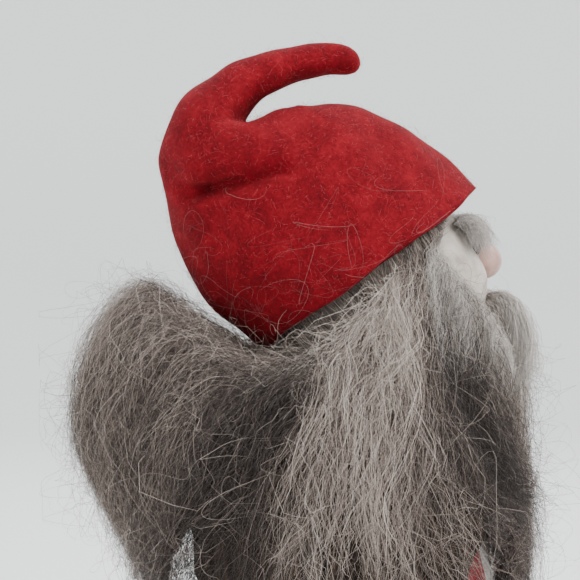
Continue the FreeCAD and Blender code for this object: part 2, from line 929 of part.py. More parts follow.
def cap_wire(section, inset, lower=0.0):
    """One closed cross-section of the cap, drawn inset from its outside."""
    (back_w, back_v), (front_w, front_v), across = section
    rim = cap_rim()
    middle = FreeCAD.Vector(0, (back_v + front_v) / 2, (back_w + front_w) / 2) * rim
    half = FreeCAD.Vector(0, back_v - front_v, back_w - front_w) * (rim / 2)
    half = half * ((half.Length - inset) / half.Length)
    side = FreeCAD.Vector(across * rim - inset, 0, 0)
    turns = [2 * pi * i / SECTION_POINTS for i in range(SECTION_POINTS)]
    drop = FreeCAD.Vector(0, 0, lower)
    curve = Part.BSplineCurve()
    curve.interpolate([middle + half * cos(a) + side * sin(a) - drop for a in turns], True)
    return Part.Wire(curve.toShape())


def cap_rim():
    """The rim's radius: the wool cap where the rim's plane cuts it, with ease and the felt."""
    wool = size("head_radius") + size("layer_gap") + size("wool_thick")
    cut_radius = (wool**2 - size("cap_rise") ** 2) ** 0.5
    return cut_radius + size("cap_thick") + size("cap_ease")


def cap_body(inset, lower, last):
    """The cap's solid form, as lofts that meet end to end where the cone bends most."""
    wires = [cap_wire(section, inset) for section in CAP_SECTIONS[:last]]
    stops = [0, *BENDS, last - 1]
    lengths = [wires[a : b + 1] for a, b in zip(stops, stops[1:])]
    if lower:
        lengths[0].insert(0, cap_wire(CAP_SECTIONS[0], inset, lower))
    whole, *rest = [Part.makeLoft(length, True, False) for length in lengths]
    return whole.fuse(rest)


def make_cap():
    felt, rim = size("cap_thick"), cap_rim()
    outside = cap_body(0.0, 0.0, len(CAP_SECTIONS))
    # The inside starts a little below the rim, and stops short of the tip to leave it closed.
    inside = cap_body(felt, felt, len(CAP_SECTIONS) - 1)

    tilt, rise = radians(size("cap_tilt")), size("cap_rise")
    lean = FreeCAD.Rotation(X_AXIS, -size("cap_tilt"))
    seat = FreeCAD.Vector(0, rise * sin(tilt), size("head_height") + rise * cos(tilt))

    cap = doc.addObject("Part::Feature", "cap_felt")
    cap.Shape = outside.cut(inside)
    cap.Placement = FreeCAD.Placement(seat, lean)
    keep(cap, "cap_felt")

    # A stiff wire down the middle of the turned-over point keeps it standing out.
    bend = [FreeCAD.Vector(0, v, w) * rim for v, w in ((0.30, 1.54), (-0.12, 1.56), (-0.55, 1.44))]
    path = Part.Wire(Part.Arc(*bend).toShape())
    start = path.Edges[0].tangentAt(path.Edges[0].FirstParameter)
    ring = Part.Wire(Part.makeCircle(size("cap_wire_radius"), bend[0], start))
    wire = doc.addObject("Part::Feature", "cap_wire")
    wire.Shape = path.makePipeShell([ring], True, True)
    wire.Placement = FreeCAD.Placement(seat, lean)
    keep(wire, "cap_wire")


# ---------------------------------------------------------------- build and write


def check():
    """Stops the build if an object failed or a sub-part is not a sound solid."""
    for thing in doc.Objects:
        if {"Invalid", "Error"} & set(thing.State):
            raise RuntimeError(f"{thing.Name} failed: {thing.State}")
    for part in parts:
        shape = part.Shape
        if shape.isNull() or not shape.isValid() or not shape.Solids:
            raise RuntimeError(f"{part.Label} is not a sound solid")
        if min(s.Volume for s in shape.Solids) <= 0:
            raise RuntimeError(f"{part.Label} has a solid with no volume")


make_stand()
make_wadding()
make_clothes()
make_boots()
make_arm("left", 1)
make_arm("right", -1)
make_head()
make_wool()
make_cap()
doc.recompute()
check()

os.makedirs("parts", exist_ok=True)
for part in parts:
    part.Shape.exportStep(os.path.join("parts", f"{part.Label}.step"))
    box = part.Shape.BoundBox
    print(
        f"{part.Label:20s} solids {len(part.Shape.Solids)} volume {part.Shape.Volume / 1000:8.2f} cm3"
        f"  z {box.ZMin:6.1f} to {box.ZMax:6.1f}  y {box.YMin:6.1f} to {box.YMax:6.1f}"
    )
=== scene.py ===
# %% [markdown]
# # A tomte: a gnome doll in a felt cap, with a great head of wool
#
# The real doll is made at a kitchen table. A wooden disc and post carry a stuffed cloth body, a
# wooden ball covered in jersey is the head, and long loose sheep's wool is sewn on for hair and
# beard. A cone of thick red felt, its point folded over, is the cap. This lesson builds each of
# those pieces around a frame that already holds their sizes, places and joints.

# %% Load the frame
import json
import math

import bpy
import numpy as np
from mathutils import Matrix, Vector


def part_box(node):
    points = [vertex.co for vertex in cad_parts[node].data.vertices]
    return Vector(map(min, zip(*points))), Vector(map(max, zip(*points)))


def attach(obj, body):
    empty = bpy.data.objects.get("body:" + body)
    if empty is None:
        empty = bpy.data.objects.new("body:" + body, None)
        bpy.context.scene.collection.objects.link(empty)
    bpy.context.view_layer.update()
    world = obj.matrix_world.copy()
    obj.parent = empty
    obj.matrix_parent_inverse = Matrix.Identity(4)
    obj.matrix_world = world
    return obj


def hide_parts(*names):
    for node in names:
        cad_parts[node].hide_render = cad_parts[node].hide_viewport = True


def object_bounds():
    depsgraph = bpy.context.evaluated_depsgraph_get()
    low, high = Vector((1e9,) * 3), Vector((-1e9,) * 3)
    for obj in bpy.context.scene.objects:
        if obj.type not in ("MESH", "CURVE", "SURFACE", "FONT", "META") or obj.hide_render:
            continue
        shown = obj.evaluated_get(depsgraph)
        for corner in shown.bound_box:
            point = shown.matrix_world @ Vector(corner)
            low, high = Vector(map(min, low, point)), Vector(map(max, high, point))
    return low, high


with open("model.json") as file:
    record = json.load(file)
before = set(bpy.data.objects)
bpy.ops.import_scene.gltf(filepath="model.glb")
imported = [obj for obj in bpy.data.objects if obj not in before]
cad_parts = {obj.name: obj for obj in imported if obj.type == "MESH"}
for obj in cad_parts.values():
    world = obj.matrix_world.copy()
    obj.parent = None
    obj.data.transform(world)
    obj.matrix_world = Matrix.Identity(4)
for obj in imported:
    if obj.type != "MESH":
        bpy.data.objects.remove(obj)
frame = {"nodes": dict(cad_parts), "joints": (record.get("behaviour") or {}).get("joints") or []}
cad_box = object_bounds()
MM = 0.001

# %% [markdown]
# ## Measures taken from the frame
#
# Every place below is worked out from the frame, so the looks follow the frame if it changes. The
# head is a ball, so the middle of its box is its centre. The cap slides off along its own axis,
# and that axis with the head's centre gives the cap its own little frame: along the axis, towards
# the back, and across.

# %% Head centre, cap axis and trunk sizes
def middle(node):
    low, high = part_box(node)
    return (low + high) / 2


def node_size(node):
    low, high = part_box(node)
    return high - low


joints = {joint["name"]: joint for joint in frame["joints"]}
HEAD = np.array(middle("face_cover"))
HEAD[2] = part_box("face_cover")[1].z - node_size("face_cover").x / 2
HEAD_RADIUS = node_size("face_cover").x / 2
CAP_AXIS = np.array(joints["cap_lift"]["axis"], float)
ACROSS = np.array([1.0, 0.0, 0.0])
BACKWARD = np.cross(CAP_AXIS, ACROSS) * -1
BACKWARD = BACKWARD * np.sign(BACKWARD[1])
WIG_RADIUS = node_size("wig_cap").x / 2
RIM_RADIUS = node_size("cap_felt").x / 2 / 0.98
RIM_RISE = 10 * MM
RIM = HEAD + CAP_AXIS * RIM_RISE
print("head", HEAD.round(4), HEAD_RADIUS, "wig", WIG_RADIUS, "rim", RIM_RADIUS, RIM.round(4))

# %% [markdown]
# ## Camera and studio
#
# The doll is looked at from its right, a little from behind and almost level. A camera half a metre
# away keeps the perspective of a small object seen from close by. The floor and the wall
# are one pale sweep, lit by a large soft window light from the left and a weaker fill.

# %% Camera
AZIMUTH, ELEVATION, DISTANCE, VIEW_HEIGHT = -98.0, 3.0, 0.46, 0.174
LOOK_AT = HEAD + np.array([0.0, 28.5, 0.0]) * MM


def view_direction(azimuth, elevation):
    a, e = math.radians(azimuth), math.radians(elevation)
    return np.array([math.sin(a) * math.cos(e), -math.cos(a) * math.cos(e), math.sin(e)])


camera = bpy.data.objects.new("camera", bpy.data.cameras.new("camera"))
bpy.context.scene.collection.objects.link(camera)
camera.location = LOOK_AT + DISTANCE * view_direction(AZIMUTH, ELEVATION)
camera.rotation_euler = Vector(view_direction(AZIMUTH, ELEVATION)).to_track_quat("Z", "Y").to_euler()
camera.data.angle = 2 * math.atan(VIEW_HEIGHT / 2 / DISTANCE)
camera.data.clip_start = 0.01
bpy.context.scene.camera = camera

# %% [markdown]
# ## Colours and materials
#
# Colours are written the way a dyer or a web page would, as sRGB hex, and one function turns them
# to the linear values that Blender works in. One more helper adds a shader node with its settings
# and links, so that each material below reads as a short recipe.

# %% Colour and node helpers
def linear(hex_colour):
    """An sRGB hex colour as linear RGBA."""
    srgb = [int(hex_colour[i : i + 2], 16) / 255 for i in (1, 3, 5)]
    rgb = [c / 12.92 if c <= 0.04045 else ((c + 0.055) / 1.055) ** 2.4 for c in srgb]
    return (*rgb, 1.0)


def node(tree, kind, links=None, stops=(), **settings):
    """Adds a shader node: links says what feeds its inputs, stops are (position, hex) on a ramp."""
    made = tree.nodes.new("ShaderNode" + kind)
    for name, value in settings.items():
        if hasattr(made, name):
            setattr(made, name, value)
        else:
            made.inputs[name.replace("_", " ")].default_value = value
    for name, socket in (links or {}).items():
        tree.links.new(socket, made.inputs[name])
    for number, (position, colour) in enumerate(stops):
        elements = made.color_ramp.elements
        element = elements[number] if number < len(elements) else elements.new(1.0)
        element.position = position
        element.color = linear(colour)
    return made


def new_material(name, **shader):
    """A material with its Principled shader set from plain values."""
    material = bpy.data.materials.new(name)
    material.use_nodes = True
    bsdf = material.node_tree.nodes["Principled BSDF"]
    for key, value in shader.items():
        bsdf.inputs[key.replace("_", " ")].default_value = value
    return material, material.node_tree, bsdf


def per_metre(millimetres):
    """The scale of a pattern whose features are that many millimetres across."""
    return 1000.0 / millimetres


# %% Floor, wall and lights
def sweep(flat=1.2, radius=0.4, high=1.0, columns=96):
    """A round floor that curves up into a wall all round, as one sheet. Sizes in metres."""
    line = [(0.001, 0.0), (0.4, 0.0), (0.9, 0.0), (flat, 0.0)]
    for i in range(1, 13):
        a = math.pi / 2 * i / 12
        line.append((flat + radius * math.sin(a), radius - radius * math.cos(a)))
    line.append((flat + radius, high))
    turn = np.linspace(0, 2 * math.pi, columns, endpoint=False)
    rings = np.array([[(d * math.cos(a), d * math.sin(a), h) for a in turn] for d, h in line])
    faces = []
    for start in range(0, (len(line) - 1) * columns, columns):
        for j in range(columns):
            k = (j + 1) % columns
            faces.append((start + j, start + k, start + columns + k, start + columns + j))
    mesh = bpy.data.meshes.new("sweep")
    mesh.from_pydata(rings.reshape(-1, 3).tolist(), [], faces)
    mesh.shade_smooth()
    return bpy.data.objects.new("sweep", mesh)


paper, tree, bsdf = new_material("matt_paper_sweep", Base_Color=linear("#fafbfa"), Roughness=0.95)
place = node(tree, "TexCoord").outputs["Object"]
grain = node(tree, "TexNoise", {"Vector": place}, Scale=per_metre(1.5), Detail=4.0)
bump = node(tree, "Bump", {"Height": grain.outputs["Fac"]}, Strength=0.05, Distance=0.2 * MM)
tree.links.new(bump.outputs["Normal"], bsdf.inputs["Normal"])
floor = sweep()
floor.data.materials.append(paper)
bpy.context.scene.collection.objects.link(floor)


def area_light(name, towards, distance, size, power, colour="#ffffff"):
    """A square lamp seen from the head towards (azimuth, elevation); metres and watts."""
    lamp = bpy.data.objects.new(name, bpy.data.lights.new(name, "AREA"))
    lamp.data.size = size
    lamp.data.energy = power
    lamp.data.color = linear(colour)[:3]
    lamp.location = Vector(HEAD) + Vector(view_direction(*towards)) * distance
    lamp.rotation_euler = Vector(view_direction(*towards)).to_track_quat("Z", "Y").to_euler()
    bpy.context.scene.collection.objects.link(lamp)


area_light("window", (-38.0, 58.0), 0.9, 0.6, 10.5, "#fbfdff")
area_light("fill", (-140.0, 25.0), 1.1, 0.9, 1.6, "#fffaf4")
area_light("far_side", (80.0, 45.0), 1.0, 0.9, 8.0)
world = bpy.data.worlds.new("soft_room")
world.use_nodes = True
world.node_tree.nodes["Background"].inputs["Color"].default_value = linear("#e6eaec")
world.node_tree.nodes["Background"].inputs["Strength"].default_value = 1.24
bpy.context.scene.world = world

# %% [markdown]
# ## Red wool felt
#
# Felt is wool that was wetted, rubbed and shrunk until its fibres locked. It has no weave: up close
# it is a mat of short curled fibres, a little lighter where they catch the light and darker in the
# pits, and cloudy over a centimetre or two where the dye took unevenly. So its colour mixes noise
# at those two sizes, its bump is at fibre size, and a rough sheen gives the soft pale rim of fuzz.

# %% Felt
FIBRE_PIT, FELT_CLOUD, FELT_CURL = 1.1, 7.0, 0.45


def felt(name, pit, body, lit, sheen=0.35):
    """Fulled wool felt in three shades: its pits, its body and its lit fibres."""
    material, tree, bsdf = new_material(
        name, Roughness=0.92, Sheen_Weight=sheen, Sheen_Roughness=0.45, Specular_IOR_Level=0.12
    )
    bsdf.inputs["Sheen Tint"].default_value = linear(lit)
    place = node(tree, "TexCoord").outputs["Object"]
    fine, cloud = (
        node(tree, "TexNoise", {"Vector": place}, Scale=per_metre(size), Detail=detail, Roughness=rough)
        for size, detail, rough in ((FIBRE_PIT, 6.0, 0.75), (FELT_CLOUD, 8.0, 0.7))
    )
    both = node(tree, "Math", {0: fine.outputs["Fac"], 1: cloud.outputs["Fac"]}, operation="ADD")
    half = node(tree, "Math", {0: both.outputs[0]}, operation="MULTIPLY")
    half.inputs[1].default_value = 0.5
    shade = node(tree, "ValToRGB", {"Fac": half.outputs[0]}, [(0.35, pit), (0.5, body), (0.65, lit)])
    tree.links.new(shade.outputs["Color"], bsdf.inputs["Base Color"])
    curl = node(tree, "TexNoise", {"Vector": place}, Scale=per_metre(FELT_CURL), Detail=8.0, Distortion=1.5)
    bump = node(tree, "Bump", {"Height": curl.outputs["Fac"]}, Strength=0.55, Distance=0.35 * MM)
    tree.links.new(bump.outputs["Normal"], bsdf.inputs["Normal"])
    return material


cap_red = felt("red_wool_felt_cap", "#4f0810", "#730c17", "#911722", sheen=0.1)
coat_red = felt("red_wool_felt_coat", "#5e1117", "#86202a", "#9c3540", sheen=0.3)
boot_brown = felt("brown_wool_felt_boots", "#2f2722", "#4b4038", "#6a5d52", sheen=0.25)
mitten_grey = felt("grey_wool_felt_mittens", "#4a4643", "#6f6a66", "#918b86", sheen=0.3)
fleece = felt("pale_fleece_cuffs", "#8f8880", "#b9b2aa", "#d6d0c8", sheen=0.4)

# %% [markdown]
# ## Wool
#
# The hair is natural grey sheep's wool: dark and nearly white fibres mixed, so that it reads as
# salt and pepper. Each fibre in this lesson is a thin tube of its own. The tube's texture
# coordinates carry a tone across and its length up, and the material turns that tone into one
# of the wool's shades. Colour that depends only on those two numbers survives any later baking.

# %% Wool material and a seeded source of chance
rng = np.random.default_rng(595)
TONE_STRIP = 0.012


def wool(name, *stops):
    """Wool whose fibres take a shade from the stops by their tone, with painted shade that darkens them a
    little towards the root.
    """
    material, tree, bsdf = new_material(name, Roughness=0.6, Sheen_Weight=0.15, Specular_IOR_Level=0.3)
    spot = node(tree, "UVMap", uv_map="OFBake")
    split = node(tree, "SeparateXYZ", {"Vector": spot.outputs["UV"]})
    shade = node(tree, "ValToRGB", {"Fac": split.outputs["X"]}, stops)
    # Painted shade: this ramp darkens the first fifth of every fibre, towards the root.
    root = node(tree, "ValToRGB", {"Fac": split.outputs["Y"]}, [(0.0, "#cfc9c4"), (0.2, "#ffffff")])
    colours = {6: shade.outputs["Color"], 7: root.outputs["Color"]}
    mixed = node(tree, "Mix", colours, data_type="RGBA", blend_type="MULTIPLY", Factor=1.0)
    tree.links.new(mixed.outputs[2], bsdf.inputs["Base Color"])
    return material


grey_wool = wool(
    "natural_grey_wool",
    (0.0, "#211712"), (0.3, "#4f4039"), (0.6, "#928177"), (0.85, "#c3b3a8"), (1.0, "#ebded3"),
)
pale_wool = wool("pale_grey_wool", (0.0, "#6b625c"), (0.4, "#a89e97"), (0.75, "#cfc6be"), (1.0, "#eee8e2"))
red_fuzz = wool("red_felt_fuzz", (0.0, "#7d0d16"), (0.5, "#a51c26"), (1.0, "#c2474f"))

# %% [markdown]
# A fibre needs only three sides to look round at this size. All the fibres of a piece are built
# at once as arrays: a ring of three points round every point of every path, quads between the
# rings, and a small triangle to close each end.

# %% Fibres as one closed mesh
MOST_FACES = 190_000


def unit(vectors):
    return vectors / (np.linalg.norm(vectors, axis=-1, keepdims=True) + 1e-12)


def fibre_mesh(name, paths, radius, tones, material):
    """One mesh of closed three-sided tubes along paths, an array (fibres, points, 3)."""
    fibres, points, _ = paths.shape
    along = unit(np.gradient(paths, axis=1))
    side = unit(np.cross(along, rng.normal(size=(fibres, 1, 3))))
    up = np.cross(along, side)
    taper = np.interp(np.linspace(0, 1, points), [0, 0.15, 0.7, 1], [0.6, 1, 0.9, 0.3])
    reach = np.broadcast_to(radius, (fibres,))[:, None, None] * taper[None, :, None]
    turns = [2 * math.pi * corner / 3 for corner in range(3)]
    rings = np.stack([paths + reach * (side * math.cos(a) + up * math.sin(a)) for a in turns], axis=2)

    first = np.arange(fibres)[:, None, None] * points * 3
    ring = first + np.arange(points - 1)[None, :, None] * 3
    here, after = np.arange(3)[None, None, :], (np.arange(3)[None, None, :] + 1) % 3
    quads = np.stack([ring + here, ring + after, ring + 3 + after, ring + 3 + here], axis=-1).reshape(-1, 4)
    root = first[:, 0, 0]
    tip = root + (points - 1) * 3
    ends = np.concatenate([np.stack([root + 2, root + 1, root], 1), np.stack([tip, tip + 1, tip + 2], 1)])

    mesh = bpy.data.meshes.new(name)
    mesh.vertices.add(fibres * points * 3)
    mesh.vertices.foreach_set("co", rings.astype(np.float32).ravel())
    corners = np.concatenate([quads.ravel(), ends.ravel()])
    starts = np.concatenate([np.arange(len(quads)) * 4, len(quads) * 4 + np.arange(len(ends)) * 3])
    mesh.loops.add(len(corners))
    mesh.loops.foreach_set("vertex_index", corners.astype(np.int32))
    mesh.polygons.add(len(starts))
    mesh.polygons.foreach_set("loop_start", starts.astype(np.int32))

    tone = np.clip(tones, 0.01, 0.97)[:, None, None, None]
    u = np.broadcast_to(tone + TONE_STRIP * np.array([0, 1, 1, 0]), (fibres, points - 1, 3, 4))
    step = np.arange(points - 1)[None, :, None, None] + np.array([0, 0, 1, 1])
    v = np.broadcast_to(step / (points - 1), (fibres, points - 1, 3, 4))
    end_u = np.repeat(np.concatenate([tones, tones]).clip(0.01, 0.97), 3)
    end_v = np.repeat(np.concatenate([np.zeros(fibres), np.ones(fibres)]), 3)
    uv = np.stack([np.concatenate([u.ravel(), end_u]), np.concatenate([v.ravel(), end_v])], axis=1)
    layer = mesh.uv_layers.new(name="OFBake")
    layer.data.foreach_set("uv", uv.astype(np.float32).ravel())
    mesh.update(calc_edges=True)
    mesh.shade_smooth()
    mesh.materials.append(material)
    return mesh


def add(name, mesh, body, slot, *replaced):
    """Puts a mesh in the scene, on its body; its slot is not used."""
    piece = bpy.data.objects.new(name, mesh)
    bpy.context.scene.collection.objects.link(piece)
    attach(piece, body)
    if replaced:
        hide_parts(*replaced)
    return piece


def add_fibres(name, paths, radius, tones, material, body, slot, *replaced):
    """Fibres as one or more pieces, each small enough to handle as a mesh of its own."""
    faces_each = (paths.shape[1] - 1) * 6 + 2
    groups = max(1, math.ceil(len(paths) * faces_each / MOST_FACES))
    order = np.arange(len(paths)) % groups
    pieces = []
    for group in range(groups):
        chosen = order == group
        size = radius if np.ndim(radius) == 0 else radius[chosen]
        label = f"{name}_{group + 1}" if groups > 1 else name
        mesh = fibre_mesh(label, paths[chosen], size, tones[chosen], material)
        pieces.append(add(label, mesh, body, slot, *(replaced if group == 0 else ())))
    print(name, len(paths), "fibres in", groups, "pieces,", len(paths) * faces_each, "triangles")
    return pieces


# %% [markdown]
# ## The felt cap
#
# The cap is one cone of thick felt. It leans back over the wig, doubles over behind the crown and
# its point lies forwards in the air, held by a wire. A cone that bends like this is drawn as
# a row of cross-sections: for each, where its back edge and its front edge lie in the cap's side
# view and how wide it is. A smooth curve through the sections gives the rings. The pinched crease
# under the fold, the bulge above it and the groove in the point are then pressed into the rings.

# %% Cross-sections, (along the axis, backwards) of the back and front edges, then half the width
CAP_SECTIONS = np.array([
    (0.00, 1.00, 0.00, -0.99, 0.98),
    (0.50, 1.13, 0.30, -0.93, 0.89),
    (0.89, 1.04, 0.66, -0.80, 0.79),
    (1.18, 0.95, 0.97, -0.60, 0.69),
    (1.36, 0.86, 1.19, -0.32, 0.59),
    (1.51, 0.77, 1.30, -0.05, 0.51),
    (1.67, 0.58, 1.345, 0.13, 0.43),
    (1.775, 0.34, 1.39, 0.02, 0.33),
    (1.745, -0.04, 1.41, -0.15, 0.25),
    (1.655, -0.38, 1.345, -0.43, 0.20),
    (1.49, -0.70, 1.20, -0.71, 0.155),
])
RINGS_EACH, RING_POINTS = 12, 144


def smooth_through(values, steps):
    """A Catmull-Rom curve through rows of values, with steps points between neighbours."""
    rows = np.vstack([2 * values[0] - values[1], values, 2 * values[-1] - values[-2]])
    out = []
    for i in range(1, len(rows) - 2):
        a, b, c, d = rows[i - 1 : i + 3]
        for t in np.arange(steps) / steps:
            out.append(0.5 * (2 * b + (c - a) * t + (2 * a - 5 * b + 4 * c - d) * t**2
                              + (3 * b - a - 3 * c + d) * t**3))
    out.append(values[-1])
    return np.array(out)


def cap_point(along, back, across=0.0):
    """A point of the cap's own frame, given in rim radii, in the row frame."""
    flat = np.multiply.outer(along, CAP_AXIS) + np.multiply.outer(back, BACKWARD)
    return RIM + RIM_RADIUS * (flat + np.multiply.outer(across, ACROSS))


def cap_rings():
    """The rings of the cap's outside, as an array (rings, points, 3)."""
    rows = smooth_through(CAP_SECTIONS, RINGS_EACH)
    back, front = cap_point(rows[:, 0], rows[:, 1]), cap_point(rows[:, 2], rows[:, 3])
    centre, half = (back + front) / 2, (back - front) / 2
    turn = np.linspace(0, 2 * math.pi, RING_POINTS, endpoint=False)
    width = (rows[:, 4] * RIM_RADIUS)[:, None, None] * ACROSS
    rings = centre[:, None] + half[:, None] * np.cos(turn)[:, None] + width * np.sin(turn)[:, None]
    # The blunt end of the point: the last ring closes over a small dome.
    ahead = unit(centre[-1] - centre[-3]) * np.linalg.norm(half[-1])
    domes = []
    for a in np.radians([18, 36, 52, 66, 78, 86]):
        domes.append(centre[-1] + ahead * math.sin(a) + (rings[-1] - centre[-1]) * math.cos(a))
    return np.concatenate([rings, np.array(domes)])


def ring_normals(rings):
    """Outward directions on an array of rings."""
    around = np.roll(rings, -1, axis=1) - np.roll(rings, 1, axis=1)
    out = unit(np.cross(around, np.gradient(rings, axis=0)))
    return out * np.sign((out * (rings - rings.mean(axis=1, keepdims=True))).sum())


def press(rings, start, end, depth, spread):
    """Presses a valley (or raises a ridge) along a line drawn on the cap's side view."""
    a, b = (np.array(p) * MM + HEAD[1:] for p in (start, end))
    flat = rings[..., 1:] - a
    share = np.clip((flat @ (b - a)) / ((b - a) @ (b - a)), 0, 1)
    away = np.linalg.norm(flat - share[..., None] * (b - a), axis=-1)
    fade = 1 - 0.55 * share
    amount = depth * MM * fade * np.exp(-((away / (spread * MM)) ** 2))
    return rings + ring_normals(rings) * amount[..., None]


def ripple(points, wave, amount, seed):
    """A smooth random field: a few sine waves in random directions, for hand-made unevenness."""
    chance = np.random.default_rng(seed)
    total = np.zeros(points.shape[:-1])
    for _ in range(7):
        direction = unit(chance.normal(size=3)) * 2 * math.pi / (wave * MM * chance.uniform(0.7, 1.5))
        total += np.sin(points @ direction + chance.uniform(0, 2 * math.pi))
    return total * amount * MM / 2.6


outside = cap_rings()
outside = press(outside, (60.0, 29.5), (35.0, 36.0), -8.5, 2.8)
outside = press(outside, (58.0, 36.0), (42.0, 43.5), 1.5, 4.5)
outside = press(outside, (31.0, 57.0), (12.0, 66.5), -1.2, 1.5)
outside = press(outside, (27.0, 54.5), (12.0, 62.0), 0.7, 1.2)
outside = outside + ring_normals(outside) * ripple(outside, 17.0, 0.45, 3)[..., None]
# The rim is cut by hand: it waves a little, and sits higher at the sides than behind.
RIM_ROWS, SIDES_UP, BACK_DOWN = 8, 2.4, 1.6
turn = np.linspace(0, 2 * math.pi, RING_POINTS, endpoint=False)
for row in range(RIM_ROWS):
    rise = (SIDES_UP * np.sin(turn) ** 2 - BACK_DOWN * np.clip(np.cos(turn), 0, 1) ** 3) * MM
    rise = rise + ripple(outside[0], 22.0, 0.5, 4)
    outside[row] += CAP_AXIS * (rise * (1 - row / RIM_ROWS) ** 2)[:, None]
cap_normals = ring_normals(outside)
print("cap rings", outside.shape, "top", (outside[..., 2].max() / MM).round(1), "mm")

# %% [markdown]
# The rings become a skin, closed at the point, and Blender's Solidify modifier gives it the felt's
# own thickness inwards, which shows as the cut edge at the rim. The wire and the inside of the
# point stay hidden in it.

# %% Cap mesh
FELT_THICK = 1.8


def grid_mesh(name, rings, closed=True, cap_end=False):
    """A mesh over an array of rings (rings, points, 3)."""
    rows, columns, _ = rings.shape
    across = columns if closed else columns - 1
    faces = []
    for i in range(rows - 1):
        for j in range(across):
            k = (j + 1) % columns
            faces.append((i * columns + j, i * columns + k, (i + 1) * columns + k, (i + 1) * columns + j))
    if cap_end:
        faces.append(tuple((rows - 1) * columns + j for j in range(columns)))
    mesh = bpy.data.meshes.new(name)
    points = rings.reshape(-1, 3)
    mesh.from_pydata(points.tolist(), [], faces)
    mesh.update()
    middle_of = points.mean(axis=0)
    facing = sum(face.normal.dot(face.center - Vector(middle_of)) for face in mesh.polygons)
    if facing < 0:
        mesh.flip_normals()
    mesh.shade_smooth()
    return mesh


def thicken(piece, thickness, inwards=True):
    """Gives a skin its thickness in millimetres with Solidify, and applies it to the mesh."""
    solid = piece.modifiers.new("thickness", "SOLIDIFY")
    solid.thickness = thickness * MM
    solid.offset = -1 if inwards else 1
    solid.use_even_offset = False
    graph = bpy.context.evaluated_depsgraph_get()
    mesh = bpy.data.meshes.new_from_object(piece.evaluated_get(graph))
    piece.modifiers.clear()
    piece.data = mesh
    return piece


cap_mesh = grid_mesh("felt_cap", outside, cap_end=True)
cap_mesh.materials.append(cap_red)
cap = add("felt_cap", cap_mesh, "cap", "red_felt_cap", "cap_felt")
thicken(cap, FELT_THICK)
print("cap faces", len(cap.data.polygons))

# %% [markdown]
# Felt is never bare: short fibres stand off it everywhere and blur its outline. They are rooted at
# random points of the skin, lean over and curl. Longer grey fibres from the wool below have
# worked up over the lower part of the cap, as they do on any doll that is handled.

# %% Fuzz on the cap, and grey fibres that cling to it
def on_rings(rings, ring, around):
    """Points at fractional ring and ring-point numbers of an array of rings."""
    ring = np.clip(ring, 0, len(rings) - 1.001)
    i, j = ring.astype(int), np.floor(around).astype(int)
    a, b = (ring - i)[..., None], (around - j)[..., None]
    j, k = j % rings.shape[1], (j + 1) % rings.shape[1]
    low = rings[i, j] * (1 - b) + rings[i, k] * b
    high = rings[i + 1, j] * (1 - b) + rings[i + 1, k] * b
    return low * (1 - a) + high * a


def fuzz(rings, normals, count, length, points=4):
    """Short curled fibres that stand off a skin."""
    edges = np.linalg.norm(np.diff(rings, axis=0), axis=-1).mean(axis=1)
    size = np.linalg.norm(rings - rings.mean(axis=1, keepdims=True), axis=-1).mean(axis=1)
    weight = edges * size[:-1]
    ring = rng.choice(len(edges), count, p=weight / weight.sum()) + rng.random(count)
    around = rng.uniform(0, rings.shape[1], count)
    foot = on_rings(rings, ring, around)
    out = unit(on_rings(normals, ring, around))
    lean = unit(np.cross(out, rng.normal(size=(count, 3))))
    curl = unit(np.cross(out, lean)) * rng.normal(0, 0.6, (count, 1))
    long = length * MM * rng.gamma(3.0, 0.33, (count, 1, 1))
    t = np.linspace(0, 1, points)[None, :, None]
    rise = rng.uniform(0.15, 0.8, (count, 1, 1))
    way = lean[:, None] * t + curl[:, None] * t**2 + out[:, None] * rise * np.sin(t * 2.2)
    return foot[:, None] - out[:, None] * 0.1 * MM + way * long


def wander_on(rings, normals, ring, around, points, size, lift):
    """Long loose fibres that curl over a skin, from a start in rings and ring points."""
    count = len(ring)
    u = np.linspace(0, 1, points)[None]
    phase, cycles = rng.uniform(0, 6.28, (4, count, 1)), rng.uniform(0.3, 1.1, (4, count, 1))
    bends = [np.sin(u * 6.28 * cycles[k] + phase[k]) - np.sin(phase[k]) for k in range(4)]
    path_ring = np.clip(ring[:, None] + (bends[0] + 0.4 * bends[1]) * size, 0.2, len(rings) - 2)
    path_around = around[:, None] + (bends[2] + 0.4 * bends[3]) * size * 1.2
    off = np.abs(np.sin(u * 5 + phase[0])) * lift * rng.random((count, 1)) + 0.12
    lifted = on_rings(normals, path_ring, path_around) * off[..., None] * MM
    return on_rings(rings, path_ring, path_around) + lifted


FUZZ, STRAYS, FUZZ_RADIUS = 7000, 110, 0.022 * MM
fuzz_paths = fuzz(outside, cap_normals, FUZZ, 1.2)
add_fibres("cap_fuzz", fuzz_paths, FUZZ_RADIUS, rng.uniform(0, 1, FUZZ), red_fuzz, "cap", "red_felt_cap")
stray_ring = np.abs(rng.normal(0, 14, STRAYS))
stray_around = rng.normal(0, RING_POINTS / 5, STRAYS)
strays = wander_on(outside, cap_normals, stray_ring, stray_around, 20, 3.5, 2.0)
pink_wool = wool("grey_wool_caught_in_red_felt", (0.0, "#4a2426"), (0.6, "#8f5f5f"), (1.0, "#c4a8a4"))
add_fibres("cap_stray_wool", strays, FUZZ_RADIUS, rng.uniform(0, 1, STRAYS), pink_wool, "cap", "grey_wool")

# %% [markdown]
# ## The shape of the hair and the beard
#
# The wool was sewn to the head in wefts and left to fall. Behind, it springs up and out from under
# the cap and makes a mane; at the sides it hangs over the shoulders, clear of the arms; in front
# it is the beard. All of it is one family of curves. For some directions round the head, two
# profiles are written down, the innermost and the outermost fall of the wool, each as radius and
# height in millimetres from root to tip. Everything in between is a blend, so a fibre is found
# from three numbers: its direction, its layer and how far along it is.

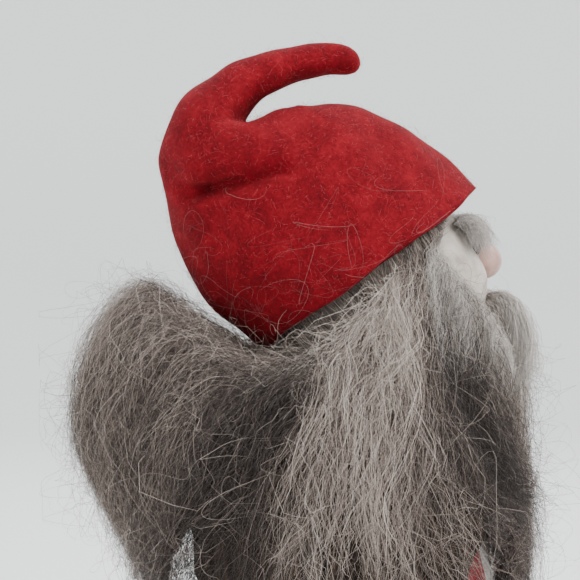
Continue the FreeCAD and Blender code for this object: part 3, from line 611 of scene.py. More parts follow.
# %% Profiles of the wool, by angle from the back of the head
OUTERMOST = {
    0: ((36, 192), (53, 202), (72, 218), (89, 200), (92, 173), (79, 150)),
    20: ((36, 192), (51, 198), (73, 211), (89, 190), (90, 165), (77, 143)),
    38: ((36, 193), (50, 193), (71, 198), (86, 179), (85, 156), (75, 133)),
    60: ((37, 202), (49, 195), (66, 183), (79, 164), (82, 142), (76, 116)),
    78: ((38, 218), (46, 206), (60, 186), (72, 161), (77, 134), (74, 106)),
    90: ((37, 226), (44, 211), (55, 188), (66, 162), (73, 137), (73, 110)),
    102: ((35, 230), (42, 213), (50, 191), (59, 172), (65, 156), (67, 143)),
    114: ((34, 222), (39, 208), (45, 190), (51, 175), (55, 163), (57, 152)),
    128: ((34, 214), (37, 202), (42, 187), (46, 173), (49, 161), (50, 150)),
    140: ((34, 208), (37, 196), (41, 178), (45, 161), (47, 147), (47, 133)),
    150: ((34, 205), (37, 193), (41, 171), (45, 150), (47, 126), (46, 102)),
    180: ((33, 199), (36, 188), (40, 168), (43, 148), (43.5, 124), (40, 95)),
}
INNERMOST = {
    0: ((35, 190), (46, 194), (60, 192), (72, 174), (74, 155), (71, 138)),
    20: ((35, 190), (45, 191), (60, 188), (71, 170), (73, 150), (71, 132)),
    38: ((35, 191), (45, 187), (58, 180), (70, 161), (73, 143), (71, 124)),
    60: ((36, 198), (43, 189), (55, 176), (67, 156), (72, 135), (71, 110)),
    78: ((37, 214), (41, 199), (51, 179), (62, 156), (71, 132), (71, 106)),
    90: ((36, 223), (40, 206), (48, 183), (59, 158), (70, 134), (71, 110)),
    102: ((34, 226), (38, 207), (44, 186), (54, 168), (62, 154), (66, 144)),
    114: ((33, 219), (35, 205), (40, 186), (46, 172), (51, 162), (54, 153)),
    128: ((33, 211), (34, 199), (37, 184), (41, 171), (44, 161), (46, 152)),
    140: ((33, 205), (34, 194), (36, 177), (40, 161), (42, 149), (43, 137)),
    150: ((33, 202), (34, 191), (35, 173), (38, 152), (41, 130), (42, 108)),
    180: ((32, 197), (32, 187), (33, 170), (36, 150), (39.5, 126), (38, 104)),
}
KNOT_ANGLES = np.array(sorted(OUTERMOST), float)
OUTER_KNOTS = np.array([OUTERMOST[a] for a in sorted(OUTERMOST)], float) * MM
INNER_KNOTS = np.array([INNERMOST[a] for a in sorted(INNERMOST)], float) * MM
ALONG = smooth_through(np.eye(6), 12)

# Where the wool stands proud (above 0) or sinks into hollows (below 0): one row for each angle from the back,
# and along each row from root to tip. The same numbers paint light and shade into the fibres' tones: paler
# where the wool stands proud and near the roots, where light falls from above, and painted shade in the
# hollows and lower down.
RELIEF_DEEP = 22
RELIEF_ANGLES = np.array([0, 28, 48, 60, 74, 83, 90, 99, 110, 130, 180], float)
RELIEF_AND_LIGHT = np.array([
    (0.00, 0.05, 0.00, -0.04, -0.08, -0.05),
    (0.05, 0.10, 0.00, -0.08, -0.08, -0.08),
    (0.08, 0.12, -0.16, -0.18, -0.10, -0.16),
    (0.14, 0.14, -0.30, -0.28, -0.36, -0.44),
    (0.26, 0.32, 0.18, -0.08, -0.50, -0.56),
    (0.28, 0.34, 0.20, 0.16, 0.10, -0.10),
    (0.28, 0.30, 0.04, -0.08, -0.08, -0.10),
    (0.22, -0.06, -0.24, -0.12, -0.04, -0.06),
    (0.22, 0.06, -0.26, -0.36, -0.22, -0.14),
    (0.26, 0.18, -0.10, -0.16, -0.10, -0.10),
    (0.20, 0.14, 0.02, -0.06, -0.10, -0.10),
])


def relief_and_light(angle, t):
    """The relief table between its rows and columns, with some unevenness of its own."""
    side = np.broadcast_to(np.abs(angle), np.broadcast(angle, t).shape)
    share = np.broadcast_to(np.clip(t, 0, 1) * 5, side.shape)
    row = np.interp(side, RELIEF_ANGLES, np.arange(len(RELIEF_ANGLES)))
    i = np.minimum(row.astype(int), len(RELIEF_ANGLES) - 2)
    j = np.minimum(share.astype(int), 4)
    a, b = row - i, share - j
    level = (RELIEF_AND_LIGHT[i, j] * (1 - a) + RELIEF_AND_LIGHT[i + 1, j] * a) * (1 - b)
    level = level + (RELIEF_AND_LIGHT[i, j + 1] * (1 - a) + RELIEF_AND_LIGHT[i + 1, j + 1] * a) * b
    return level + 0.07 * cloudy(angle / 9, t * 5, 71) + 0.05 * cloudy(angle / 4, t * 9, 72)


def cloudy(x, y, seed):
    """Smooth noise of two coordinates between about -1 and 1, for locks and hollows."""
    chance = np.random.default_rng(seed)
    total = 0
    for _ in range(6):
        way = chance.normal(0, 1, 2)
        total = total + np.sin(x * way[0] + y * way[1] + chance.uniform(0, 6.28))
    return total / 2.5


def knots_at(angle, table):
    """The profile for each angle (in degrees, either side), as an array (..., 6, 2)."""
    flat = np.abs(angle).ravel()
    columns = [np.interp(flat, KNOT_ANGLES, table[:, i, j]) for i in range(6) for j in range(2)]
    return np.stack(columns, axis=-1).reshape(*np.shape(angle), 6, 2)


def drift(angle):
    """How far, in degrees, a whole fibre turns round the head between its root and its tip."""
    side = np.abs(angle)
    turn = np.interp(side, [0, 20, 55, 74, 84, 100, 120, 150, 180], [0, -14, -30, -16, -1, 0, 5, 3, 0])
    return np.sign(angle) * turn


def wool_at(angle, layer, t):
    """Points of the wool for arrays (fibres, points) of angle, layer and share of the length."""
    profile = knots_at(angle[:, 0], INNER_KNOTS)
    outer = knots_at(angle[:, 0], OUTER_KNOTS)
    step = np.clip(t, 0, 1) * (len(ALONG) - 1)
    low = np.minimum(step.astype(int), len(ALONG) - 2)
    part = (step - low)[..., None]
    basis = ALONG[low] * (1 - part) + ALONG[low + 1] * part
    inside_rz = np.einsum("fpk,fkc->fpc", basis, profile)
    outside_rz = np.einsum("fpk,fkc->fpc", basis, outer)
    rz = inside_rz + (outside_rz - inside_rz) * layer[..., None]
    rz[..., 0] += relief_and_light(angle, t) * RELIEF_DEEP * MM * np.minimum(1, t * 6) * np.clip(layer, 0.2, 1)
    turned = np.radians(angle + drift(angle[:, :1]) * t)
    return np.stack([rz[..., 0] * np.sin(turned), rz[..., 0] * np.cos(turned), rz[..., 1]], axis=-1)


def wave_of(phase, cycles, t):
    """Sine waves along the fibres, with a phase and a number of cycles for each direction."""
    return np.sin(t[..., None] * cycles * 6.28 + phase)


def wave(t, count, cycles, amount):
    """A sideways wave for each fibre, in three directions, that grows from the root."""
    bend = wave_of(rng.uniform(0, 6.28, (count, 1, 3)), cycles * rng.uniform(0.6, 1.5, (count, 1, 3)), t)
    size = np.broadcast_to(amount, (count,))[:, None, None] * rng.uniform(0.3, 1, (count, 1, 1))
    return bend * size * MM * np.minimum(1, t * 5)[..., None]


print("wool reaches", OUTER_KNOTS[..., 0].max() / MM, "mm out")

# %% [markdown]
# Under the loose fibres lies a closed felted layer for the dense inside of the wool, so that no gap between
# fibres shows daylight. Its dark colour, streaked lengthways, is painted shade, standing for the deep wool
# where light hardly enters.
# Its grid is the same family of curves, taken at a fixed depth.

# %% Dense wool inside, dark with painted shade
def shade_core_material():
    material, tree, bsdf = new_material("inner_wool_painted_shade", Roughness=0.9, Specular_IOR_Level=0.1)
    spot = node(tree, "UVMap", uv_map="OFBake")
    stretched = node(tree, "Mapping", {"Vector": spot.outputs["UV"]}, Scale=(260.0, 9.0, 1.0))
    streak = node(tree, "TexNoise", {"Vector": stretched.outputs[0]}, Scale=1.0, Detail=5.0, Roughness=0.65)
    # Painted shade: these dark browns stand for the deep wool where light hardly reaches.
    shades = [(0.32, "#17110e"), (0.5, "#2e2622"), (0.68, "#57493f")]
    shade = node(tree, "ValToRGB", {"Fac": streak.outputs["Fac"]}, shades)
    tree.links.new(shade.outputs["Color"], bsdf.inputs["Base Color"])
    bump = node(tree, "Bump", {"Height": streak.outputs["Fac"]}, Strength=0.8, Distance=0.6 * MM)
    tree.links.new(bump.outputs["Normal"], bsdf.inputs["Normal"])
    return material


shaded_inner_wool = shade_core_material()
CORE_ROWS, CORE_THICK = 64, 1.6


def core_piece(name, first, last, depth, t_last, *replaced):
    """A closed layer of dense wool between two angles, coloured in painted shade, with unique texture
    coordinates.
    """
    angles = np.linspace(first, last, max(24, int(abs(last - first) / 1.5)))
    t = np.linspace(0.02, 1.0, CORE_ROWS)
    grid = np.repeat(angles[:, None], CORE_ROWS, axis=1)
    level = depth + 0.12 * cloudy(grid / 9, t[None] * 3, 11)
    ragged = 1 + 0.1 * cloudy(grid / 5, 0, 12) + 0.05 * cloudy(grid / 1.6, 0, 13)
    skin = wool_at(grid, level, t_last * np.clip(ragged, 0.7, 1.2) * t)
    mesh = grid_mesh(name, np.swapaxes(skin, 0, 1), closed=False)
    mesh.materials.append(shaded_inner_wool)
    piece = add(name, mesh, "head", "grey_wool", *replaced)
    thicken(piece, CORE_THICK)
    layer = piece.data.uv_layers.new(name="OFBake")
    points = np.array([v.co for v in piece.data.vertices])
    sides = np.arctan2(points[:, 0], points[:, 1]) / (2 * math.pi) + 0.5
    rise = (points[:, 2] - points[:, 2].min()) / np.ptp(points[:, 2])
    for loop in piece.data.loops:
        layer.data[loop.index].uv = (sides[loop.vertex_index], rise[loop.vertex_index])
    return piece


core_piece("inner_hair_shade_left", 0.3, 122.0, 0.4, 0.8, "hair_left", "hair_back")
core_piece("inner_hair_shade_right", -122.0, -0.3, 0.4, 0.8, "hair_right")
core_piece("inner_beard_shade_left", 124.0, 179.7, 0.35, 0.76, "beard")
core_piece("inner_beard_shade_right", -179.7, -124.0, 0.35, 0.76)

# %% [markdown]
# Over it come the fibres: long ones that run from root to tip in locks, and many short crimped
# ones that follow the same fall but stray from it. Wool that has been handled felts a little, so
# the strays are what makes it look like wool and not like straight hair.

# %% Long fibres
def pick_angles(count, first=0.0, last=180.0):
    """Random angles on both sides, denser where the wool is wide."""
    trial = rng.uniform(first, last, count * 4)
    width = np.interp(trial, KNOT_ANGLES, OUTER_KNOTS[:, 3, 0])
    keep = trial[rng.random(len(trial)) < width / width.max()][:count]
    return keep * rng.choice([-1.0, 1.0], len(keep))


def tones_with_painted_light(angle, t, layer):
    """Salt and pepper: each fibre is dark or pale at random, with painted light and shade over that: more
    often pale where the wool stands proud and in its outer layers, darker in the hollows and the inner
    layers.
    """
    # Painted light and shade: the table and the fibre's depth in the wool push its tone paler on proud, outer
    # wool and darker in hollows and deep wool.
    lean = relief_and_light(angle, t) * 2.0 + (layer - 0.75) * 0.3
    pale = rng.random(len(angle)) < 0.5 + lean
    tone = np.where(pale, rng.normal(0.68, 0.13, len(angle)), rng.normal(0.26, 0.13, len(angle)))
    return np.clip(tone + lean * 0.5, 0, 1)


def sway_of(angle, t):
    """How far whole locks swing to one side on their way down, in degrees."""
    return cloudy(angle[:, None] / 11, t * 3.2, 33) * 9.0 * t


def long_fibres(count, locks, first, last, lowest=0.4, points=26):
    """Fibres from root to tip: most gathered in wavy locks, the others loose."""
    lock_angle = np.resize(pick_angles(locks, first, last), locks)
    lock_layer = rng.uniform(lowest, 1.0, locks)
    lock = rng.integers(0, locks, count)
    loose = rng.random(count) < 0.4
    angle = np.where(loose, np.resize(pick_angles(count, first, last), count), lock_angle[lock])
    layer = np.where(loose, rng.uniform(0.5, 1.05, count), lock_layer[lock])
    t = np.linspace(0, 1, points)[None] * rng.uniform(0.6, 1.0, (count, 1))
    sway = sway_of(angle, t)
    paths = wool_at(angle[:, None] + sway, np.broadcast_to(layer[:, None], t.shape), t)
    bend = wave_of(rng.uniform(0, 6.28, (locks, 1, 3))[lock], rng.uniform(1.0, 2.6, (locks, 1, 3))[lock], t)
    gathered = bend * 3.8 + rng.normal(0, 1, (count, 1, 3)) * (2.2 - 1.5 * t[..., None])
    paths = paths + np.where(loose[:, None, None], 0, gathered) * MM * np.minimum(1, t * 5)[..., None]
    paths = paths + wave(t, count, 2.4, np.where(loose, 3.2, 1.2)) + wave(t, count, 8.0, 0.75)
    return paths, angle, t[:, points // 2], layer


def within(paths):
    """Draws in what stands out too far sideways, as a hand does that smooths the wool."""
    side, far, slack = np.abs(paths[..., 0]), 87 * MM, 4 * MM
    drawn = np.where(side > far, far + slack * np.tanh((side - far) / slack), side)
    paths[..., 0] = np.sign(paths[..., 0]) * drawn
    return paths


def keep_clear(paths):
    """Keeps fibres off the felt cap: below its rim, or outside it."""
    relative = paths - RIM
    rise = relative @ CAP_AXIS
    flat = relative - rise[..., None] * CAP_AXIS
    reach = np.linalg.norm(flat, axis=-1)
    rim_reach = RIM_RADIUS + 0.6 * MM - np.clip(rise, 0, 0.03) * 0.12
    under = (rise > -1 * MM) & (reach < rim_reach) & (reach > 0.6 * RIM_RADIUS)
    push = np.where(under, rim_reach - reach, 0)
    paths = paths + flat / (reach[..., None] + 1e-9) * push[..., None]
    return within(paths)


for label, count, locks, first, last, slot in (
    ("hair", 5000, 300, 0.0, 119.0, "grey_wool"),
    ("beard", 1700, 110, 117.0, 180.0, "pale_wool"),
):
    paths, *where = long_fibres(count, locks, first, last)
    add_fibres(f"long_{label}", keep_clear(paths), 0.058 * MM, tones_with_painted_light(*where), grey_wool, "head", slot)

# %% Short crimped fibres
def short_fibres(count, first, last, points=9):
    """Curled fibres that follow the fall of the wool for a few centimetres, and stray from it."""
    angle = np.resize(pick_angles(count, first, last), count)
    layer = rng.uniform(0.66, 1.08, count)
    start = rng.uniform(-0.02, 0.92, count).clip(0)
    u = np.linspace(0, 1, points)[None].repeat(count, 0)
    t = np.clip(start[:, None] + u * rng.uniform(0.12, 0.32, (count, 1)), 0, 1)
    wild = np.where(rng.random(count) < 0.35, 2.2, 1.0)
    stray = rng.normal(0, 4.5, (count, 1)).clip(-7, 7) * wild[:, None] * (u * 2 - 1)
    lift = rng.normal(0, 0.06, (count, 1)) * (u * 2 - 1)
    sway = sway_of(angle, t)
    paths = wool_at(angle[:, None] + sway + stray, layer[:, None] + lift, t)
    paths = paths + wave(u, count, 1.2, 2.2 * wild) + wave(u, count, 3.2, 0.9)
    return paths, angle, t[:, points // 2], layer


for label, count, first, last, slot in (
    ("hair", 15000, 0.0, 119.0, "grey_wool"),
    ("beard", 5000, 117.0, 180.0, "pale_wool"),
):
    paths, *where = short_fibres(count, first, last)
    add_fibres(f"frizzy_{label}", keep_clear(paths), 0.045 * MM, tones_with_painted_light(*where), grey_wool, "head", slot)

# %% [markdown]
# Where the beard starts, on the temples and cheeks, the wool is the palest and the shortest. It
# lies over everything else, so it is a layer of its own, in the pale material.

# %% Pale wool on the temples and cheeks
TEMPLE = 4200
angle = rng.uniform(98, 150, TEMPLE) * rng.choice([-1.0, 1.0], TEMPLE)
u = np.linspace(0, 1, 10)[None].repeat(TEMPLE, 0)
t = np.clip(rng.uniform(0, 0.22, (TEMPLE, 1)) + u * rng.uniform(0.08, 0.22, (TEMPLE, 1)), 0, 1)
layer = rng.uniform(1.0, 1.5, (TEMPLE, 1)).repeat(t.shape[1], 1)
paths = wool_at(angle[:, None] - np.sign(angle)[:, None] * u * 4, layer, t)
paths = paths + wave(u, TEMPLE, 1.0, 1.6) + wave(u, TEMPLE, 2.6, 0.5)
tones = rng.uniform(0.5, 0.95, TEMPLE)
add_fibres("temple_wool", keep_clear(paths), 0.045 * MM, tones, pale_wool, "head", "pale_wool")

# %% [markdown]
# Last come the flyaways, single thin fibres that stand out from the rest in loops and blur the
# outline. They start just under the surface and swing outwards; the longest are left out.

# %% Flyaway fibres
def flyaways(count, points=20):
    """Thin loose fibres that loop out of the wool."""
    angle = np.resize(pick_angles(count), count)
    start = rng.uniform(0.05, 0.85, count)
    u = np.linspace(0, 1, points)[None, :, None]
    t = np.clip(start[:, None] + u[..., 0] * rng.uniform(0.05, 0.25, (count, 1)), 0, 1)
    base = wool_at(np.broadcast_to(angle[:, None], t.shape), np.full(t.shape, 0.95), t)
    away = unit(base * np.array([1, 1, 0.0]) + rng.normal(0, 0.02, (count, 1, 3)))
    loop = np.sin(u * math.pi * rng.uniform(0.6, 1.4, (count, 1, 1)))
    reach = rng.gamma(2.0, 3.8, (count, 1, 1)).clip(0, 14) * MM
    turned = rng.normal(0, 1, (count, 1, 3)) * np.sin(u * 3.1 * rng.uniform(0.5, 2, (count, 1, 1))) * 6 * MM
    return base + away * loop * reach + turned + wave(u[..., 0].repeat(count, 0), count, 2.0, 1.6)


loose = flyaways(1500)
loose = loose[np.linalg.norm(loose[:, 0] - loose[:, -1], axis=1) < 26 * MM]
farthest_back = np.array(cad_box[1])[1] + 11 * MM
loose[..., 1] = np.minimum(loose[..., 1], farthest_back)
tones = rng.uniform(0.1, 0.85, len(loose))
add_fibres("flyaway_wool", keep_clear(loose), 0.04 * MM, tones, grey_wool, "head", "grey_wool")

# %% [markdown]
# ## Moustache and eyebrows
#
# These are pale combed locks, softer than the beard. Each is a bundle of fibres that leaves a root
# line on the face and follows a few guide points, fanning out as it goes.

# %% Tufts of pale wool
def tuft(name, roots, guides, count, spread, curl, radius, tones, slot, *replaced):
    """Fibres from a root line along guide points; spread says how far they fan out by the tip."""
    share = rng.random((count, 1))
    foot = np.array(roots[0]) * (1 - share) + np.array(roots[1]) * share
    line = smooth_through(np.array([(0, 0, 0), *guides], float), 5)
    t = np.linspace(0, 1, len(line))[None, :, None]
    fan = rng.normal(0, 1, (count, 1, 3)) * spread * t
    reach = rng.uniform(0.55, 1.05, (count, 1, 1))
    paths = (foot[:, None] + line[None] * reach + fan) * MM
    paths = paths + wave(t[..., 0].repeat(count, 0), count, 1.5, curl) + HEAD
    add_fibres(name, paths, radius * MM, tones, pale_wool, "head", slot, *replaced)


TUFT = 1300
for name, side in (("left", 1), ("right", -1)):
    tuft(
        f"moustache_wool_{name}",
        [(side * 0.5, -30.5, -3.0), (side * 9.0, -30.0, -1.0)],
        [(side * 4, -5.5, -1), (side * 11, -8, -6), (side * 16, -8.5, -15), (side * 18, -7, -25)],
        TUFT, 2.2, 1.3, 0.05, rng.uniform(0.35, 1, TUFT), "pale_wool", f"moustache_{name}",
    )
    tuft(
        f"eyebrow_wool_{name}",
        [(side * 3.0, -23.0, 20.0), (side * 17.0, -17.0, 20.0)],
        [(side * 1, -3.6, 1.0), (side * 2.5, -6.5, -1.5), (side * 5, -7.5, -6.5)],
        TUFT, 1.7, 1.3, 0.045, rng.uniform(0.25, 0.95, TUFT), "pale_wool", f"eyebrow_{name}",
    )

# %% [markdown]
# ## The face and the wig's cloth
#
# The ball of the head is covered with undyed cotton jersey, pulled over it and gathered behind,
# so it is smooth except for a little swelling at the cheeks. The knit is fine: rows of stitches
# about a millimetre apart, drawn here by two sine patterns across each other. The nose is
# a small stuffed ball of the same jersey, rubbed rosy with chalk.

# %% Jersey
STITCH = 0.9


def knit(name, dark, body, lit, spacing=STITCH):
    """Fine knitted jersey: soft clouds of colour and two rows of stitches across each other."""
    material, tree, bsdf = new_material(name, Roughness=0.85, Sheen_Weight=0.3, Sheen_Roughness=0.5)
    place = node(tree, "TexCoord").outputs["Object"]
    soft = node(tree, "TexNoise", {"Vector": place}, Scale=per_metre(6.0), Detail=4.0)
    shade = node(tree, "ValToRGB", {"Fac": soft.outputs["Fac"]}, [(0.3, dark), (0.5, body), (0.7, lit)])
    tree.links.new(shade.outputs["Color"], bsdf.inputs["Base Color"])
    bands = per_metre(spacing) / 6.28 * 0.31
    rows, stitches = (
        node(tree, "TexWave", {"Vector": place}, bands_direction=way, Scale=bands, Distortion=1.5, Detail=1.0)
        for way in "ZX"
    )
    both = node(tree, "Math", {0: rows.outputs["Fac"], 1: stitches.outputs["Fac"]}, operation="MULTIPLY")
    bump = node(tree, "Bump", {"Height": both.outputs[0]}, Strength=0.35, Distance=0.25 * MM)
    tree.links.new(bump.outputs["Normal"], bsdf.inputs["Normal"])
    return material


face_jersey = knit("undyed_cotton_jersey", "#a89a8e", "#c2b5a9", "#d2c8bf")
nose_jersey = knit("rosy_cotton_jersey", "#a8837a", "#c39a8f", "#d1b0a5")
wig_cloth = knit("grey_cotton_wig_cloth", "#5b544e", "#766e67", "#8b837b")


def ball_patch(radius, centre, columns=96, rows=72, first=0.0, last=math.pi):
    """Rings of a ball about the Y axis, from its front to its back."""
    a = np.linspace(first, last, rows)[:, None]
    b = np.linspace(0, 2 * math.pi, columns, endpoint=False)[None]
    out = np.stack([np.sin(a) * np.sin(b), -np.cos(a) * np.ones_like(b), np.sin(a) * np.cos(b)], axis=-1)
    return centre + out * radius


face = ball_patch(HEAD_RADIUS, HEAD, first=0.02, last=math.radians(86))
turned = unit(face - HEAD)
for x in (-1, 1):
    cheek = unit(np.array([x * 0.5, -0.82, 0.02]))
    face = face + turned * (np.exp(-((1 - turned @ cheek) / 0.05) ** 2) * 1.6 * MM)[..., None]
face = face + turned * ripple(face, 16.0, 0.25, 8)[..., None]
face_mesh = grid_mesh("jersey_face", face[::-1], cap_end=True)
face_mesh.materials.append(face_jersey)
face_piece = add("jersey_face", face_mesh, "head", "face_cloth", "face_cover")
thicken(face_piece, 1.2)

nose_radius = node_size("nose").x / 2
nose_centre = np.array(middle("nose"))
nose = ball_patch(nose_radius, nose_centre, 48, 36, 0.03, math.pi - 0.03)
nose = nose_centre + (nose - nose_centre) * np.array([1.0, 1.0, 0.94])
nose_mesh = grid_mesh("jersey_nose", nose[::-1], cap_end=True)
nose_mesh.materials.append(nose_jersey)
nose_piece = add("jersey_nose", nose_mesh, "head", "face_cloth", "nose")

# %% [markdown]
# The wig is a close cloth cap that the wool is sewn to. It only shows when the felt cap is lifted
# off: short wool, combed down from the crown, covers it.

# %% Wig cap and its combed wool
def dome_point(radius, angle, down):
    """A point on the head's ball: angle round from the back, down from the crown, both arrays."""
    crown = unit(CAP_AXIS)
    back = unit(BACKWARD)
    flat = np.sin(down)[..., None] * (np.cos(angle)[..., None] * back + np.sin(angle)[..., None] * ACROSS)
    return HEAD + radius * (np.cos(down)[..., None] * crown + flat)


steps_down, steps_round = np.radians(np.linspace(1, 92, 48)), np.radians(np.linspace(0, 360, 121)[:-1])
down, around = np.meshgrid(steps_down, steps_round, indexing="ij")
# In front the cloth ends at the brow; behind and at the sides it goes down to the cap's rim.
edge = np.radians(np.interp(np.abs(np.degrees(around) - 180), [0, 50, 90, 180], [66, 74, 92, 94]))
wig = dome_point(WIG_RADIUS - 1.0 * MM, around, down / down.max() * edge)
wig_mesh = grid_mesh("wig_cloth", wig[::-1], cap_end=True)
wig_mesh.materials.append(wig_cloth)
wig_piece = add("wig_cloth", wig_mesh, "head", "wig_cloth", "wig_cap")
thicken(wig_piece, 1.0)

COMBED = 5500
start_down = np.degrees(np.arccos(1 - rng.random(COMBED) * 0.9))
angle = rng.uniform(0, 360, COMBED)
u = np.linspace(0, 1, 9)[None]
limit_down = np.interp(np.abs(angle - 180), [0, 50, 90, 180], [64, 73, 91, 93])[:, None]
path_down = np.minimum(start_down[:, None] + u * 22, limit_down)
path_angle = angle[:, None] + rng.normal(0, 5, (COMBED, 1)) * u
path_angle = path_angle + cloudy(angle[:, None] / 20, path_down / 20, 51) * 6
lift = WIG_RADIUS - rng.uniform(0.1, 0.9, (COMBED, 1, 1)) * MM
combed = dome_point(1.0, np.radians(path_angle), np.radians(path_down)) - HEAD
combed = HEAD + combed * lift
tones = rng.uniform(0.1, 0.95, COMBED)
add_fibres("combed_wig_wool", combed, 0.08 * MM, tones, grey_wool, "head", "grey_wool")

# %% [markdown]
# ## Clothes
#
# The coat is the same red felt, cut as a wide skirt with a gap in front, over a pale cotton smock.
# Both hang from the neck and are held in by the belt. A garment like this is a skin of rings with
# a width for each height, open over an arc in front, with soft folds that start under the belt and
# deepen to the hem. Solidify gives it its thickness, and its cut edges stay square, as felt's do.

# %% Coat and smock
COAT_HEIGHTS = np.array([4.0, 45.0, 79.0, 90.0, 128.0, 148.0, 166.0])
COAT_RADII = np.array([53.0, 48.0, 44.2, 43.0, 36.0, 30.0, 19.0])
OPENING = 84.0
BELT_HEIGHT = float(middle("belt").z) / MM


def garment(name, inset, thickness, gap, material, slot, replaced, fold, seed, low=4.0, high=165.6):
    """A coat-like skin, open by gap degrees in front, with folds below the belt."""
    z = np.linspace(low, high, 70)
    radius = np.interp(z, COAT_HEIGHTS, COAT_RADII) - inset
    radius = np.convolve(np.pad(radius, 3, mode="edge"), np.ones(7) / 7, mode="valid")
    sweep_angle = np.radians(np.linspace(gap / 2, 360 - gap / 2, 220))
    grid_z, grid_a = np.meshgrid(z, sweep_angle, indexing="ij")
    chance = np.random.default_rng(seed)
    folds = sum(np.sin(grid_a * k + chance.uniform(0, 6.28)) * chance.uniform(0.4, 1) for k in (7, 9, 13, 17))
    depth = np.interp(grid_z, [low, BELT_HEIGHT - 8, BELT_HEIGHT, BELT_HEIGHT + 12, 128, 150, high],
                      [1.0, 0.45, 0.0, 0.3, 0.25, 0.05, 0.0]) * fold
    reach = radius[:, None] + (folds + 2.0).clip(0) * depth * 0.4
    points = np.stack([-np.sin(grid_a) * reach, -np.cos(grid_a) * reach, grid_z], axis=-1) * MM
    mesh = grid_mesh(name, points, closed=False)
    mesh.materials.append(material)
    piece = add(name, mesh, "trunk", slot, replaced)
    return thicken(piece, thickness, inwards=False)


def cotton(name, dark, body, lit, thread=0.5):
    """Plain-woven cotton; the threads are drawn about half a millimetre apart, so that they show."""
    material, tree, bsdf = new_material(name, Roughness=0.9, Sheen_Weight=0.2, Sheen_Roughness=0.5)
    place = node(tree, "TexCoord").outputs["Object"]
    soft = node(tree, "TexNoise", {"Vector": place}, Scale=per_metre(9.0), Detail=5.0)
    shade = node(tree, "ValToRGB", {"Fac": soft.outputs["Fac"]}, [(0.3, dark), (0.5, body), (0.7, lit)])
    tree.links.new(shade.outputs["Color"], bsdf.inputs["Base Color"])
    checks = node(tree, "TexChecker", {"Vector": place}, Scale=per_metre(thread))
    bump = node(tree, "Bump", {"Height": checks.outputs["Fac"]}, Strength=0.3, Distance=0.12 * MM)
    tree.links.new(bump.outputs["Normal"], bsdf.inputs["Normal"])
    return material


smock_cotton = cotton("pale_cotton_smock", "#bdb9b5", "#d3cfcb", "#dedbd8")
coat_piece = garment("felt_coat", 2.0, 2.0, OPENING, coat_red, "red_felt_coat", "coat", 2.6, 5)
smock_piece = garment("cotton_smock", 3.1, 0.7, 0.0, smock_cotton, "pale_smock_cloth", "smock", 0.0, 6)


def cloth_area(piece):
    """The area of one face of a thin closed piece, in square metres: half of its whole surface."""
    return sum(face.area for face in piece.data.polygons) / 2


# %% [markdown]
# Each sheet prints the area of one of its faces, in square metres.

# %% The area of each sheet
for piece in (coat_piece, smock_piece, face_piece, wig_piece, cap):
    print(piece.name, "one face", round(cloth_area(piece), 5), "m2")

# %% [markdown]
# ## Sleeves, cuffs, mittens, boots and collar
#
# These are small sewn shapes whose form the frame already holds, but with a lathe's hard edges.
# Cloth has none, so each is taken as a copy of the frame's solid, rebuilt in even voxels, smoothed
# until its edges round over, and creased by a smooth random field. That keeps every piece in its
# own place and gives it the slight unevenness of hand sewing.

# %% Softened copies of the frame's solids
def read_vectors(items, what):
    """A vector property of all vertices or polygons of a mesh, as an array."""
    flat = np.empty(len(items) * 3, np.float32)
    items.foreach_get(what, flat)
    return flat.reshape(-1, 3).astype(float)


def soften(name, source, voxel, smoothing, crease, size, material, body, slot, seed=1):
    """A cloth version of a solid: voxels of a size in mm, smoothed, then creased along its normals."""
    mesh = frame["nodes"][source].data.copy()
    mesh.name = name
    mesh.materials.clear()
    mesh.materials.append(material)
    piece = add(name, mesh, body, slot, source)
    blocks = piece.modifiers.new("voxels", "REMESH")
    blocks.mode, blocks.voxel_size, blocks.use_smooth_shade = "VOXEL", voxel * MM, True
    relax = piece.modifiers.new("relax", "SMOOTH")
    relax.factor, relax.iterations = 0.5, smoothing
    graph = bpy.context.evaluated_depsgraph_get()
    made = bpy.data.meshes.new_from_object(piece.evaluated_get(graph))
    piece.modifiers.clear()
    piece.data = made
    points, normals = (read_vectors(made.vertices, what) for what in ("co", "normal"))
    points = points + normals * ripple(points, size, crease, seed)[:, None]
    made.vertices.foreach_set("co", points.astype(np.float32).ravel())
    made.shade_smooth()
    made.update()
    print(name, len(made.polygons), "faces")
    return piece


def surface_fuzz(name, piece, count, length, radius, tones, material, body, slot):
    """Short fibres rooted all over a piece."""
    co, no = (read_vectors(piece.data.vertices, what) for what in ("co", "normal"))
    pick = rng.integers(0, len(co), count)
    foot = co[pick] + rng.normal(0, 0.2, (count, 3)) * MM
    out = unit(no[pick])
    lean = unit(np.cross(out, rng.normal(size=(count, 3))))
    t = np.linspace(0, 1, 5)[None, :, None]
    long = length * MM * rng.uniform(0.4, 1.3, (count, 1, 1))
    curl = unit(np.cross(out, lean))[:, None] * np.sin(t * 4) * 0.5
    way = out[:, None] * np.sin(t * 1.8) * 0.8 + lean[:, None] * t * 0.7 + curl
    paths = foot[:, None] - out[:, None] * 0.1 * MM + long * way
    add_fibres(name, paths, radius * MM, tones, material, body, slot)


fleece_wool = wool("pale_fleece_fibres", (0.0, "#a39b92"), (0.5, "#c9c2ba"), (1.0, "#e6e1db"))
CURLS, COAT_FUZZ = 1800, 6000
